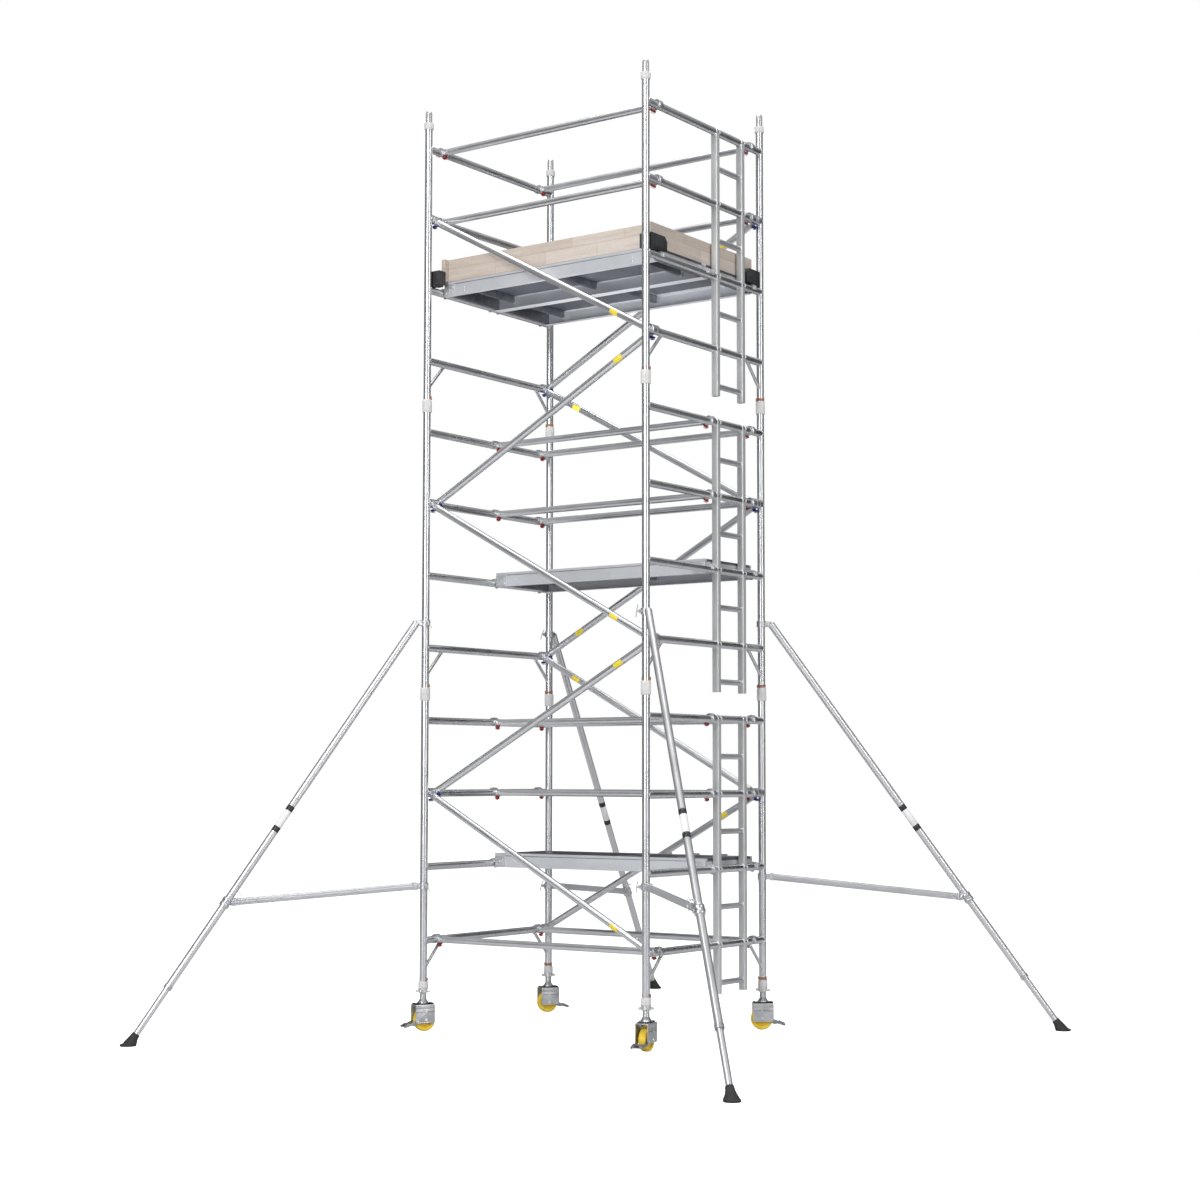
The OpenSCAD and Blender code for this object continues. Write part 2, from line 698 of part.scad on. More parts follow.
module leg_rear_left() color([0.7, 0.71, 0.73]) at_corner(-1, 1, 0) castor_leg();
module fork_rear_left() color([0.5, 0.52, 0.54]) at_corner(-1, 1, heading_rl) castor_fork();
module wheel_rear_left() color([0.9, 0.72, 0.1]) at_corner(-1, 1, heading_rl) castor_wheel();
module pedal_rear_left() color([0.2, 0.2, 0.22]) at_corner(-1, 1, heading_rl) castor_pedal();

module stabiliser_front_left() color([0.74, 0.75, 0.77]) at_corner(-1, -1, stab_a_fl)
    stabiliser(reach_fl, 1, low_fl, arm_fl);
module foot_leg_front_left() color([0.66, 0.67, 0.7]) at_corner(-1, -1, stab_a_fl) foot_leg(reach_fl);
module stabiliser_front_right() color([0.74, 0.75, 0.77]) at_corner(1, -1, stab_a_fr)
    stabiliser(reach_fr, -1, low_fr, arm_fr);
module foot_leg_front_right() color([0.66, 0.67, 0.7]) at_corner(1, -1, stab_a_fr) foot_leg(reach_fr);
module stabiliser_rear_right() color([0.74, 0.75, 0.77]) at_corner(1, 1, stab_a_rr)
    stabiliser(reach_rr, 1, low_rr, arm_rr);
module foot_leg_rear_right() color([0.66, 0.67, 0.7]) at_corner(1, 1, stab_a_rr) foot_leg(reach_rr);
module stabiliser_rear_left() color([0.74, 0.75, 0.77]) at_corner(-1, 1, stab_a_rl)
    stabiliser(reach_rl, 1, low_rl, arm_rl);
module foot_leg_rear_left() color([0.66, 0.67, 0.7]) at_corner(-1, 1, stab_a_rl) foot_leg(reach_rl);

span_frame_lower();
span_frame_middle();
span_frame_upper();
ladder_frame_lower();
ladder_frame_middle();
ladder_frame_upper();
spigots();
socket_rings();
interlock_clips();
base_braces();
lower_guardrails();
middle_guardrails();
top_guardrails();
front_diagonals();
rear_diagonals();
red_catches();
blue_catches();
deck_low();
deck_middle();
deck_top_front();
deck_top_rear();
deck_panels();
wind_locks();
toe_board_front();
toe_board_rear();
toe_board_left();
toe_board_right();
toe_board_clips();
hatch_low();
hatch_middle();
hatch_top();
nut_front_left();
leg_front_left();
fork_front_left();
wheel_front_left();
pedal_front_left();
nut_front_right();
leg_front_right();
fork_front_right();
wheel_front_right();
pedal_front_right();
nut_rear_right();
leg_rear_right();
fork_rear_right();
wheel_rear_right();
pedal_rear_right();
nut_rear_left();
leg_rear_left();
fork_rear_left();
wheel_rear_left();
pedal_rear_left();
stabiliser_front_left();
foot_leg_front_left();
stabiliser_front_right();
foot_leg_front_right();
stabiliser_rear_right();
foot_leg_rear_right();
stabiliser_rear_left();
foot_leg_rear_left();
hinge_pins();
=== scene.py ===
import math
import random

import bmesh
import bpy
import numpy as np
from mathutils import Matrix, Vector


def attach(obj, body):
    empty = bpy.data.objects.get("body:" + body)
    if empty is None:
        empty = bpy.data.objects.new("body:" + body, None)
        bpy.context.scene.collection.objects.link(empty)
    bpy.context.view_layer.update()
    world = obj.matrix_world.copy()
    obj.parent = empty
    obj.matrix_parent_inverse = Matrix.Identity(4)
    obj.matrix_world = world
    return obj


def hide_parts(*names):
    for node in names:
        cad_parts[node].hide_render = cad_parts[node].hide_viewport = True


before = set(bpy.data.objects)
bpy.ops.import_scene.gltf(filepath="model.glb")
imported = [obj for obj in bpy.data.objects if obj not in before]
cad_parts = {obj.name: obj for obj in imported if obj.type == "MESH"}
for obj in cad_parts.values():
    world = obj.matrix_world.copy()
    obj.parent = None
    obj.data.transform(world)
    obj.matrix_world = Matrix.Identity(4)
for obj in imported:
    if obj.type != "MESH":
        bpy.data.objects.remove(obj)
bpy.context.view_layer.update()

MM = 0.001
SEED = 7
RNG = random.Random(SEED)

# ---------- sizes shared with the CAD part, in millimetres ----------

PX, PY = 925.0, 700.0              # post centres
RUNG_1, PITCH = 610.0, 500.0       # lowest rung and rung spacing
FRAME_Z, LIFT = 290.0, 2000.0      # lowest frame edge and height of one lift
POST_R, RUNG_R, TUBE_T = 25.4, 25.0, 2.2
BRACE_R, STEP_R, KNEE_R = 23.0, 19.0, 11.0
STILE_Y, STILE_X, STILE_W = (130.0, 448.0), 48.0, 38.0
END_X, DECK_W, BEAM_H, DECK_UP = 895.0, 580.0, 100.0, 73.0
DECK_REAR, DECK_FRONT = 35.0, -555.0
HATCH_X0, HATCH_X1, HINGE_BACK = 130.0, 800.0, 42.0
TOE_T, TOE_H = 32.0, 155.0
TOE_Z = RUNG_1 + 9 * PITCH + DECK_UP
TOE_X = END_X - 3.0
RAIL_FRONT, RAIL_REAR, RAIL_MIDDLE = -565.0, 570.0, 55.0
FRONT_NEAR, FRONT_FAR, REAR_NEAR, REAR_FAR = 55 - PY, 95 - PY, PY - 45, PY - 83.5
CLAW_REACH = 52.0
WHEEL_R, WHEEL_BACK, HOUSING_Z, HOUSING_W = 75.0, 8.0, 181.0, 90.0
PIVOT = (50.0, 70.0)
LEG_R = 22.7
POSTS = [(x, y) for x in (-PX, PX) for y in (-PY, PY)]
STAB_R, INNER_R, CLAMP_UP = 25.0, 21.0, 2780.0

CORNERS = {
    # name: (side in x, side in y, heading of the castor, turn of the nut), in degrees
    "front_left": (-1, -1, -117.0, 20.0),
    "front_right": (1, -1, -80.0, 35.0),
    "rear_right": (1, 1, 38.0, 10.0),
    "rear_left": (-1, 1, 60.0, 60.0),
}
STABILISERS = {
    # name: (heading in degrees, reach from post to foot, height of the lower clamp,
    #        height of the arm on the tube, side of the clamp bolts)
    "front_left": (-121.0, 1981.0, 980.0, 900.0, 1),
    "front_right": (-42.4, 2072.0, 1030.0, 970.0, -1),
    "rear_right": (33.2, 2040.0, 1040.0, 900.0, 1),
    "rear_left": (99.7, 1867.0, 920.0, 812.0, 1),
}


def rung_z(n):
    return RUNG_1 + PITCH * (n - 1)


def frame_bottom(k):
    return FRAME_Z + LIFT * k


# ---------- materials ----------

class Nodes:
    """A small helper that adds shader nodes and links them."""

    def __init__(self, name):
        self.mat = bpy.data.materials.new(name)
        self.mat.use_nodes = True
        self.tree = self.mat.node_tree
        self.bsdf = self.tree.nodes["Principled BSDF"]
        self.coord = self.tree.nodes.new("ShaderNodeTexCoord")

    def new(self, kind, **values):
        node = self.tree.nodes.new(kind)
        for key, value in values.items():
            if key in node.inputs:
                node.inputs[key].default_value = value
            else:
                setattr(node, key, value)
        return node

    def link(self, a, b):
        self.tree.links.new(a, b)

    def feed(self, socket, value):
        """Sets a socket to a number or a colour, or links it."""
        if isinstance(value, (int, float)):
            socket.default_value = value
        elif isinstance(value, tuple):
            socket.default_value = (*value, 1)
        else:
            self.link(value, socket)

    def mapped(self, source="Object", scale=(1.0, 1.0, 1.0)):
        node = self.new("ShaderNodeMapping")
        node.inputs["Scale"].default_value = scale
        self.link(self.coord.outputs[source], node.inputs["Vector"])
        return node.outputs["Vector"]

    def noise(self, vector, scale, detail=3.0, rough=0.55):
        node = self.new("ShaderNodeTexNoise", Scale=scale, Detail=detail, Roughness=rough)
        self.link(vector, node.inputs["Vector"])
        return node.outputs["Fac"]

    def ramp(self, fac, stops):
        node = self.new("ShaderNodeValToRGB")
        cr = node.color_ramp
        while len(cr.elements) < len(stops):
            cr.elements.new(0.5)
        for el, (pos, col) in zip(cr.elements, stops):
            el.position = pos
            el.color = (*col, 1)
        self.link(fac, node.inputs["Fac"])
        return node.outputs["Color"]

    def span(self, fac, lo, hi, from_lo=0.0, from_hi=1.0):
        node = self.new("ShaderNodeMapRange")
        for key, value in (("From Min", from_lo), ("From Max", from_hi), ("To Min", lo), ("To Max", hi)):
            node.inputs[key].default_value = value
        self.link(fac, node.inputs["Value"])
        return node.outputs["Result"]

    def math(self, op, a, b):
        node = self.new("ShaderNodeMath", operation=op)
        for socket, value in zip(node.inputs, (a, b)):
            self.feed(socket, value)
        return node.outputs["Value"]

    def mix(self, fac, a, b, mode="MIX"):
        node = self.new("ShaderNodeMix", data_type="RGBA", blend_type=mode)
        for socket, value in (("Factor", fac), ("A", a), ("B", b)):
            self.feed(node.inputs[socket], value)
        return node.outputs["Result"]

    def relief(self, *layers):
        """Chains bump nodes, each (height, strength, distance), into the surface normal."""
        last = None
        for height, strength, distance in layers:
            node = self.new("ShaderNodeBump", Strength=strength, Distance=distance)
            self.link(height, node.inputs["Height"])
            if last:
                self.link(last, node.inputs["Normal"])
            last = node.outputs["Normal"]
        self.set("Normal", last)

    def set(self, socket, value):
        self.feed(self.bsdf.inputs[socket], value)


def tube_metal(name, light, dark, rough, ribs=0):
    """Drawn aluminium: fine streaks along the tube, soft smudges and small handling marks."""
    n = Nodes(name)
    streaks = n.noise(n.mapped("UV", (70.0, 0.5, 1.0)), 1.0, 3.0, 0.5)
    smudge = n.noise(n.mapped(scale=(3.0, 3.0, 3.0)), 1.6, 4.0, 0.6)
    marks = n.noise(n.mapped(), 55.0, 3.0, 0.7)
    tone = n.math("ADD", n.math("MULTIPLY", streaks, 0.45), n.math("MULTIPLY", smudge, 0.55))
    n.set("Base Color", n.ramp(tone, ((0.25, dark), (0.6, light))))
    n.set("Metallic", 1.0)
    rough_map = n.math("ADD", n.span(streaks, rough - 0.02, rough + 0.03),
                       n.span(smudge, -0.02, 0.03, 0.35, 0.65))
    n.set("Roughness", n.math("ADD", rough_map, n.span(marks, 0.0, 0.03, 0.66, 0.85)))
    layers = [(streaks, 0.03, 0.0002)]
    if ribs:
        wave = n.new("ShaderNodeTexWave", wave_type="BANDS", bands_direction="X")
        wave.inputs["Scale"].default_value = ribs / 3.1416
        n.link(n.mapped("UV"), wave.inputs["Vector"])
        layers.append((wave.outputs["Fac"], 0.5, 0.0012))
    n.relief(*layers)
    return n.mat


def satin(name, light, dark, rough, metallic):
    """Extruded aluminium with an anodised, half matt skin: fine die lines and faint stains."""
    mat = tube_metal(name, light, dark, rough)
    mat.node_tree.nodes["Principled BSDF"].inputs["Metallic"].default_value = metallic
    return mat


def cast_metal(name, light, dark, rough, grain=420.0):
    """Cast or rolled metal with a fine grain, patchy tone and worn spots."""
    n = Nodes(name)
    patches = n.noise(n.mapped(), 26.0, 5.0, 0.65)
    fine = n.noise(n.mapped(), grain, 3.0, 0.6)
    n.set("Base Color", n.ramp(patches, ((0.32, dark), (0.66, light))))
    n.set("Metallic", 1.0)
    n.set("Roughness", n.math("ADD", n.span(patches, rough - 0.06, rough + 0.1), n.span(fine, -0.05, 0.07)))
    n.relief((fine, 0.22, 0.0006))
    return n.mat


def plastic(name, light, dark, rough, grain=600.0, depth=0.0004):
    """Moulded plastic or paint: spark-grain bump, faint mottling and scuffs."""
    n = Nodes(name)
    mottle = n.noise(n.mapped(), 18.0, 4.0, 0.6)
    fine = n.noise(n.mapped(), grain, 2.0, 0.5)
    scuff = n.noise(n.mapped(scale=(6.0, 6.0, 60.0)), 4.0, 5.0, 0.75)
    base = n.ramp(mottle, ((0.35, dark), (0.65, light)))
    worn = tuple(min(1.0, c * 1.25 + 0.02) for c in light)
    n.set("Base Color", n.mix(n.span(scuff, 0.0, 0.5, 0.62, 0.75), base, worn))
    n.set("Roughness", n.math("ADD", n.span(mottle, rough - 0.05, rough + 0.08), n.span(fine, -0.04, 0.05)))
    n.relief((fine, 0.3, depth))
    return n.mat


GLUE_LINE = (TOE_Z + 88.0) * MM     # height of the seam between the two strips of a toe board
BLOCKS_PER_M, BLOCK_STAGGER = 2.3, 0.21


def wood(name, axis):
    """Pale planed board: two strips glued edge to edge, finger joints, growth rings and small knots."""
    n = Nodes(name)
    stretch = {"x": (1.0, 14.0, 14.0), "y": (14.0, 1.0, 14.0)}[axis]
    swirl = n.noise(n.mapped(scale=stretch), 2.2, 6.0, 0.62)
    grain = n.noise(n.mapped(scale=tuple(s * 9.0 for s in stretch)), 3.0, 5.0, 0.7)
    split = n.new("ShaderNodeSeparateXYZ")
    n.link(n.coord.outputs["Object"], split.inputs["Vector"])
    run = split.outputs["X" if axis == "x" else "Y"]
    up = split.outputs["Z"]
    top_strip = n.math("GREATER_THAN", up, GLUE_LINE)
    shifted = n.math("ADD", run, n.math("MULTIPLY", top_strip, BLOCK_STAGGER))
    cell = n.math("FLOOR", n.math("MULTIPLY", shifted, BLOCKS_PER_M), 0.0)
    block = n.new("ShaderNodeTexWhiteNoise", noise_dimensions="2D")
    join = n.new("ShaderNodeCombineXYZ")
    n.link(cell, join.inputs["X"])
    n.link(top_strip, join.inputs["Y"])
    n.link(join.outputs["Vector"], block.inputs["Vector"])
    tone = n.math("ADD", n.math("MULTIPLY", swirl, 0.75), n.math("MULTIPLY", block.outputs["Value"], 0.32))
    pale = n.ramp(tone, ((0.3, (0.50, 0.42, 0.36)), (0.55, (0.60, 0.53, 0.47)), (0.8, (0.68, 0.62, 0.57))))
    lines = n.ramp(grain, ((0.4, (0.82, 0.78, 0.74)), (0.56, (1.0, 1.0, 1.0))))
    body = n.mix(0.55, pale, lines, "MULTIPLY")
    knots = n.new("ShaderNodeTexVoronoi", Scale=3.4)
    n.link(n.mapped(scale=tuple(0.5 + s * 0.16 for s in stretch)), knots.inputs["Vector"])
    spot = n.span(knots.outputs["Distance"], 1.0, 0.0, 0.03, 0.085)
    body = n.mix(n.math("MULTIPLY", spot, 0.75), body, (0.4, 0.22, 0.13))
    seam_up = n.math("LESS_THAN", n.math("ABSOLUTE", n.math("SUBTRACT", up, GLUE_LINE), 0.0), 0.0016)
    fingers = n.math("PINGPONG", up, 0.006)
    edge = n.math("FRACT", n.math("MULTIPLY", n.math("ADD", shifted, fingers), BLOCKS_PER_M), 0.0)
    seam = n.math("MAXIMUM", seam_up, n.math("LESS_THAN", edge, 0.006))
    body = n.mix(n.math("MULTIPLY", seam, 0.7), body, (0.40, 0.29, 0.22))
    n.set("Base Color", body)
    n.set("Roughness", n.span(grain, 0.5, 0.72))
    n.relief((n.math("SUBTRACT", grain, n.math("MULTIPLY", seam, 0.6)), 0.25, 0.0008))
    return n.mat


def board(name, top, light):
    """Film-faced plywood: dark film with a wire-mesh print in its bump and a mottled tone, alike on every face.
    """
    n = Nodes(name)
    mottle = n.noise(n.mapped(), 5.0, 6.0, 0.65)
    fine = n.noise(n.mapped(), 300.0, 3.0, 0.6)
    mesh = n.new("ShaderNodeTexVoronoi", Scale=150.0)
    n.link(n.mapped(scale=(1.0, 1.0, 0.2)), mesh.inputs["Vector"])
    n.set("Base Color", n.ramp(mottle, ((0.35, top), (0.68, light))))
    n.set("Roughness", n.math("ADD", n.span(mottle, 0.34, 0.5), n.span(fine, -0.04, 0.06)))
    n.relief((mesh.outputs["Distance"], 0.35, 0.0008), (fine, 0.2, 0.0004))
    return n.mat


M_FRAME = tube_metal("FrameTube", (0.72, 0.73, 0.75), (0.62, 0.63, 0.65), 0.27)
M_BRACE = tube_metal("BraceTube", (0.84, 0.85, 0.87), (0.74, 0.75, 0.77), 0.3)
M_STAB = satin("StabiliserTube", (0.78, 0.78, 0.80), (0.70, 0.71, 0.73), 0.34, 0.95)
M_ARM = satin("RibbedArm", (0.66, 0.67, 0.69), (0.56, 0.57, 0.60), 0.34, 0.8)
M_STILE = satin("LadderStile", (0.70, 0.71, 0.71), (0.62, 0.63, 0.64), 0.34, 0.55)
M_STEP = tube_metal("LadderStep", (0.78, 0.79, 0.81), (0.6, 0.61, 0.64), 0.3, ribs=30)
M_WELD = cast_metal("WeldBead", (0.92, 0.92, 0.93), (0.76, 0.77, 0.79), 0.34, 900.0)
M_CAST = cast_metal("CastClaw", (0.70, 0.71, 0.73), (0.52, 0.53, 0.56), 0.34)
M_DECK = satin("DeckExtrusion", (0.72, 0.74, 0.77), (0.64, 0.66, 0.70), 0.36, 0.45)
M_ENDCAST = satin("DeckEndCasting", (0.66, 0.67, 0.69), (0.54, 0.55, 0.57), 0.38, 0.6)
# painted shade: deck aluminium darkened to stand for the shade under the deck, inside its ends and below the
# beam's bead
M_SHADED_DECK_METAL = cast_metal("DeckMetalPaintedShade", (0.36, 0.37, 0.4), (0.24, 0.25, 0.28), 0.42)
M_ZINC = cast_metal("ZincPlate", (0.66, 0.67, 0.68), (0.50, 0.51, 0.53), 0.38, 500.0)
M_BOLT = cast_metal("BoltHead", (0.86, 0.86, 0.86), (0.68, 0.68, 0.69), 0.26, 800.0)
M_DARKSTEEL = cast_metal("BlackSteel", (0.09, 0.09, 0.1), (0.04, 0.04, 0.045), 0.45)
M_LEG = cast_metal("ThreadSteel", (0.66, 0.67, 0.68), (0.46, 0.47, 0.49), 0.32)
M_NUT = cast_metal("NutCasting", (0.80, 0.80, 0.79), (0.66, 0.66, 0.66), 0.42)
M_SPIGOT = tube_metal("Spigot", (0.84, 0.84, 0.86), (0.68, 0.69, 0.71), 0.26)
M_COLLAR = plastic("CollarGrey", (0.70, 0.70, 0.69), (0.60, 0.60, 0.60), 0.46)
M_CLIP = plastic("ClipBrown", (0.42, 0.2, 0.1), (0.24, 0.11, 0.06), 0.38)
M_RED = plastic("CatchRed", (0.36, 0.025, 0.022), (0.22, 0.016, 0.015), 0.34)
M_BLUE = plastic("CatchBlue", (0.02, 0.04, 0.3), (0.012, 0.022, 0.17), 0.34)
M_BLACK = plastic("ClipBlack", (0.035, 0.036, 0.04), (0.018, 0.018, 0.02), 0.5)
M_RUBBER = plastic("Rubber", (0.03, 0.03, 0.03), (0.016, 0.016, 0.016), 0.68, 380.0, depth=0.0008)
M_YELLOW = plastic("WheelYellow", (0.86, 0.58, 0.03), (0.74, 0.46, 0.02), 0.4)
M_TYRE = plastic("TyreYellow", (0.90, 0.66, 0.06), (0.8, 0.54, 0.03), 0.55, 300.0)
M_STICKER = plastic("StickerYellow", (0.90, 0.74, 0.06), (0.82, 0.64, 0.04), 0.42, 900.0)
M_LABEL_W = plastic("LabelWhite", (0.84, 0.84, 0.84), (0.76, 0.76, 0.77), 0.4, 900.0)
M_LABEL_B = plastic("LabelBlack", (0.03, 0.03, 0.035), (0.018, 0.018, 0.02), 0.36, 900.0)
M_PEDAL = cast_metal("PedalSteel", (0.42, 0.43, 0.44), (0.26, 0.27, 0.28), 0.4)
M_WOOD_X = wood("ToeBoardAlongX", "x")
M_WOOD_Y = wood("ToeBoardAlongY", "y")
M_BOARD = board("DeckBoard", (0.05, 0.053, 0.066), (0.09, 0.094, 0.115))


# ---------- mesh kit, all in millimetres ----------

SHARP_ANGLE = 38.0
UV_STRETCH = 6.0                       # how much finer a flat face's streaks are across than along


class Kit:
    """Collects vertices, faces, UVs and materials of many parts, then makes one mesh object."""

    def __init__(self):
        self.verts, self.faces, self.uvs, self.slots, self.mats = [], [], [], [], []
        self.count = 0

    def slot(self, mat):
        if mat not in self.mats:
            self.mats.append(mat)
        return self.mats.index(mat)

    def add(self, verts, faces, uvs, mat, m=None):
        """verts is an array of points, faces a list of index lists, uvs one pair per face corner."""
        v = np.asarray(verts, float)
        if m is not None:
            a = np.array(m, float)
            v = v @ a[:3, :3].T + a[:3, 3]
            if np.linalg.det(a[:3, :3]) < 0:
                faces = [f[::-1] for f in faces]
                uvs = [u[::-1] for u in uvs]
        self.verts.append(v)
        base = self.count
        self.faces.extend([[base + i for i in f] for f in faces])
        self.uvs.extend(uvs)
        self.slots.extend([self.slot(mat)] * len(faces))
        self.count += len(v)

    def part(self, shape, mat, m=None):
        self.add(*shape, mat, m)

    def parts(self, shapes, mat, m=None):
        for shape in shapes:
            self.part(shape, mat, m)

    def build(self, name, body, replaces, slot):
        """One object from all parts, shaded smooth up to SHARP_ANGLE, on a body and in place of CAD nodes."""
        mesh = bpy.data.meshes.new(name)
        mesh.from_pydata((np.concatenate(self.verts) * MM).tolist(), [], self.faces)
        layer = mesh.uv_layers.new(name="UVMap")
        layer.data.foreach_set("uv", np.array([c for f in self.uvs for c in f], np.float32).ravel())
        for mat in self.mats:
            mesh.materials.append(mat)
        mesh.polygons.foreach_set("material_index", np.array(self.slots, np.int32))
        mesh.polygons.foreach_set("use_smooth", np.ones(len(self.faces), bool))
        mesh.update()
        mesh.set_sharp_from_angle(angle=math.radians(SHARP_ANGLE))
        obj = bpy.data.objects.new(name, mesh)
        bpy.context.scene.collection.objects.link(obj)
        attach(obj, body)
        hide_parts(*replaces)


def shift(x, y, z):
    return Matrix.Translation((x, y, z))


def rot(degrees, axis):
    return Matrix.Rotation(math.radians(degrees), 4, axis)


def scale_x(factor):
    return Matrix.Scale(factor, 4, (1, 0, 0))


def place(x=0.0, y=0.0, z=0.0, rz=0.0):
    return shift(x, y, z) @ rot(rz, "Z")


def angles(n):
    """n equal steps round a full circle, in radians."""
    return [2 * math.pi * i / n for i in range(n)]


def along(p0, p1):
    """A frame whose Z axis runs from p0 to p1."""
    d = Vector(p1) - Vector(p0)
    return Matrix.Translation(p0) @ d.to_track_quat("Z", "Y").to_matrix().to_4x4(), d.length


def grid_faces(rows, cols, closed):
    """Four-sided faces between rows of cols vertices; closed joins the last column to the first."""
    faces = []
    span = cols if closed else cols - 1
    for i in range(rows - 1):
        for j in range(span):
            k = (j + 1) % cols
            faces.append([i * cols + j, i * cols + k, (i + 1) * cols + k, (i + 1) * cols + j])
    return faces


def strip_uvs(lengths, around):
    """One UV square per face: lengths in millimetres along the shape, around from 0 to 1 about it."""
    uvs = []
    for v0, v1 in zip(lengths, lengths[1:]):
        for u0, u1 in zip(around, around[1:]):
            uvs.append([(u0, v0 * MM), (u1, v0 * MM), (u1, v1 * MM), (u0, v1 * MM)])
    return uvs


def lathe(profile, seg=32, radius_of=None, start=0.0, sweep=360.0):
    """Turns (radius, height) points about Z. radius_of(angle, r, z) may change the radius."""
    closed = sweep >= 360.0
    cols = seg if closed else seg + 1
    verts, dist, lengths = [], 0.0, []
    for i, (r, z) in enumerate(profile):
        if i:
            dist += math.hypot(r - profile[i - 1][0], z - profile[i - 1][1])
        lengths.append(dist)
        for j in range(cols):
            a = math.radians(start + sweep * j / seg)
            q = radius_of(a, r, z) if radius_of else r
            verts.append((q * math.cos(a), q * math.sin(a), z))
    return verts, grid_faces(len(profile), cols, closed), strip_uvs(lengths, [j / seg for j in range(seg + 1)])


def pipe(length, r, wall=2.0, seg=32, edge=0.5):
    """An open tube with softly broken edges, from z = 0 to its length."""
    q = r - wall
    return lathe([(q, 0), (r - edge, 0), (r, edge), (r, length - edge), (r - edge, length), (q, length),
                  (q, 0)], seg)


def both_ways(half):
    """A profile that is the same above and below Z = 0, from its lower half."""
    return half + [(r, -z) for r, z in reversed(half)]


def rod(length, r, seg=20, edge=0.8):
    """A solid bar with broken edges, from z = 0 to its length."""
    return lathe([(0.01, 0), (r - edge, 0), (r, edge), (r, length - edge), (r - edge, length),
                  (0.01, length)], seg)


def from_bmesh(bm):
    """The vertices, faces and UVs of a bmesh, which is freed; UVs are projected along each face's main axis."""
    bm.verts.index_update()
    bm.normal_update()
    verts = [tuple(v.co) for v in bm.verts]
    faces, uvs = [], []
    for f in bm.faces:
        faces.append([v.index for v in f.verts])
        n = f.normal
        axis = max(range(3), key=lambda i: abs(n[i]))
        keep = [i for i in range(3) if i != axis]
        uvs.append([(v.co[keep[0]] * MM * UV_STRETCH, v.co[keep[1]] * MM) for v in f.verts])
    bm.free()
    return verts, faces, uvs


def prism(outline, depth, bevel=1.5):
    """An outline in X-Z pushed along Y, centred on Y = 0, with rounded edges."""
    bm = bmesh.new()
    front = [bm.verts.new((x, -depth / 2, z)) for x, z in outline]
    face = bm.faces.new(front)
    face.normal_update()
    moved = bmesh.ops.extrude_face_region(bm, geom=[face])
    back = [g for g in moved["geom"] if isinstance(g, bmesh.types.BMVert)]
    bmesh.ops.translate(bm, vec=(0, depth, 0), verts=back)
    bmesh.ops.recalc_face_normals(bm, faces=bm.faces)
    if bevel:
        sharp = [e for e in bm.edges if len(e.link_faces) == 2 and e.calc_face_angle(0) > 0.6]
        bmesh.ops.bevel(bm, geom=sharp, offset=bevel, segments=2, profile=0.6, affect="EDGES",
                        clamp_overlap=True)
    return from_bmesh(bm)


def block(sx, sy, sz, bevel=1.5, segments=2):
    """A rounded block centred on the origin."""
    bm = bmesh.new()
    bmesh.ops.create_cube(bm, size=1.0)
    bmesh.ops.scale(bm, vec=(sx, sy, sz), verts=bm.verts)
    bmesh.ops.bevel(bm, geom=list(bm.edges), offset=min(bevel, 0.45 * min(sx, sy, sz)), segments=segments,
                    profile=0.6, affect="EDGES")
    return from_bmesh(bm)


def box(lo, hi, bevel=1.5, segments=2):
    """A rounded block from its low corner to its high corner."""
    shape = block(hi[0] - lo[0], hi[1] - lo[1], hi[2] - lo[2], bevel, segments)
    mid = [(a + b) / 2 for a, b in zip(lo, hi)]
    return [tuple(c + d for c, d in zip(v, mid)) for v in shape[0]], shape[1], shape[2]


def sweep_loop(points, r, seg=8, closed=True, wobble=0.0):
    """A round bead or wire that follows points; wobble makes it ripple like a weld."""
    pts = [Vector(p) for p in points]
    n = len(pts)
    verts = []
    for i, p in enumerate(pts):
        a = pts[(i - 1) % n] if closed or i else p
        b = pts[(i + 1) % n] if closed or i < n - 1 else p
        t = (b - a).normalized()
        side = t.orthogonal() if abs(t.z) > 0.9 else t.cross(Vector((0, 0, 1)))
        side.normalize()
        up = side.cross(t)
        q = r * (1 + wobble * math.sin(i * 2.4) + wobble * 0.6 * math.sin(i * 0.9))
        for w in angles(seg):
            verts.append(tuple(p + side * (q * math.cos(w)) + up * (q * math.sin(w))))
    rows = n + 1 if closed else n
    faces, uvs = [], []
    for i in range(rows - 1):
        for j in range(seg):
            k = (j + 1) % seg
            i2 = (i + 1) % n
            faces.append([i * seg + j, i2 * seg + j, i2 * seg + k, i * seg + k])
            uvs.append([(j / seg, i * 0.01), (j / seg, i * 0.01 + 0.01), ((j + 1) / seg, i * 0.01 + 0.01),
                        ((j + 1) / seg, i * 0.01)])
    return verts, faces, uvs


def circle(r, n):
    return [(r * math.cos(a), r * math.sin(a)) for a in angles(n)]


def arc(cx, cz, r, a0, a1, n):
    """n + 1 points of an arc from angle a0 to a1, in degrees."""
    return [(cx + r * math.cos(math.radians(a0 + (a1 - a0) * i / n)),
             cz + r * math.sin(math.radians(a0 + (a1 - a0) * i / n))) for i in range(n + 1)]


def bolt(r, h, seg=6):
    """A hexagon head on a washer, standing along Z."""
    head = lathe([(r, 0), (r, h * 0.75), (r * 0.8, h), (0.01, h)], seg)
    washer = lathe([(r * 1.35, 0), (r * 1.35, h * 0.15), (0.01, h * 0.15)], 20)
    return head, washer


# ---------- end frames ----------

def saddle(main_r, branch_r, axis_sign, n=40):
    """The weld line where a branch along Y meets a post along Z."""
    pts = []
    for a in angles(n):
        x = branch_r * math.cos(a)
        pts.append((x, axis_sign * math.sqrt(max(main_r ** 2 - x ** 2, 0.0)), branch_r * math.sin(a)))
    return pts


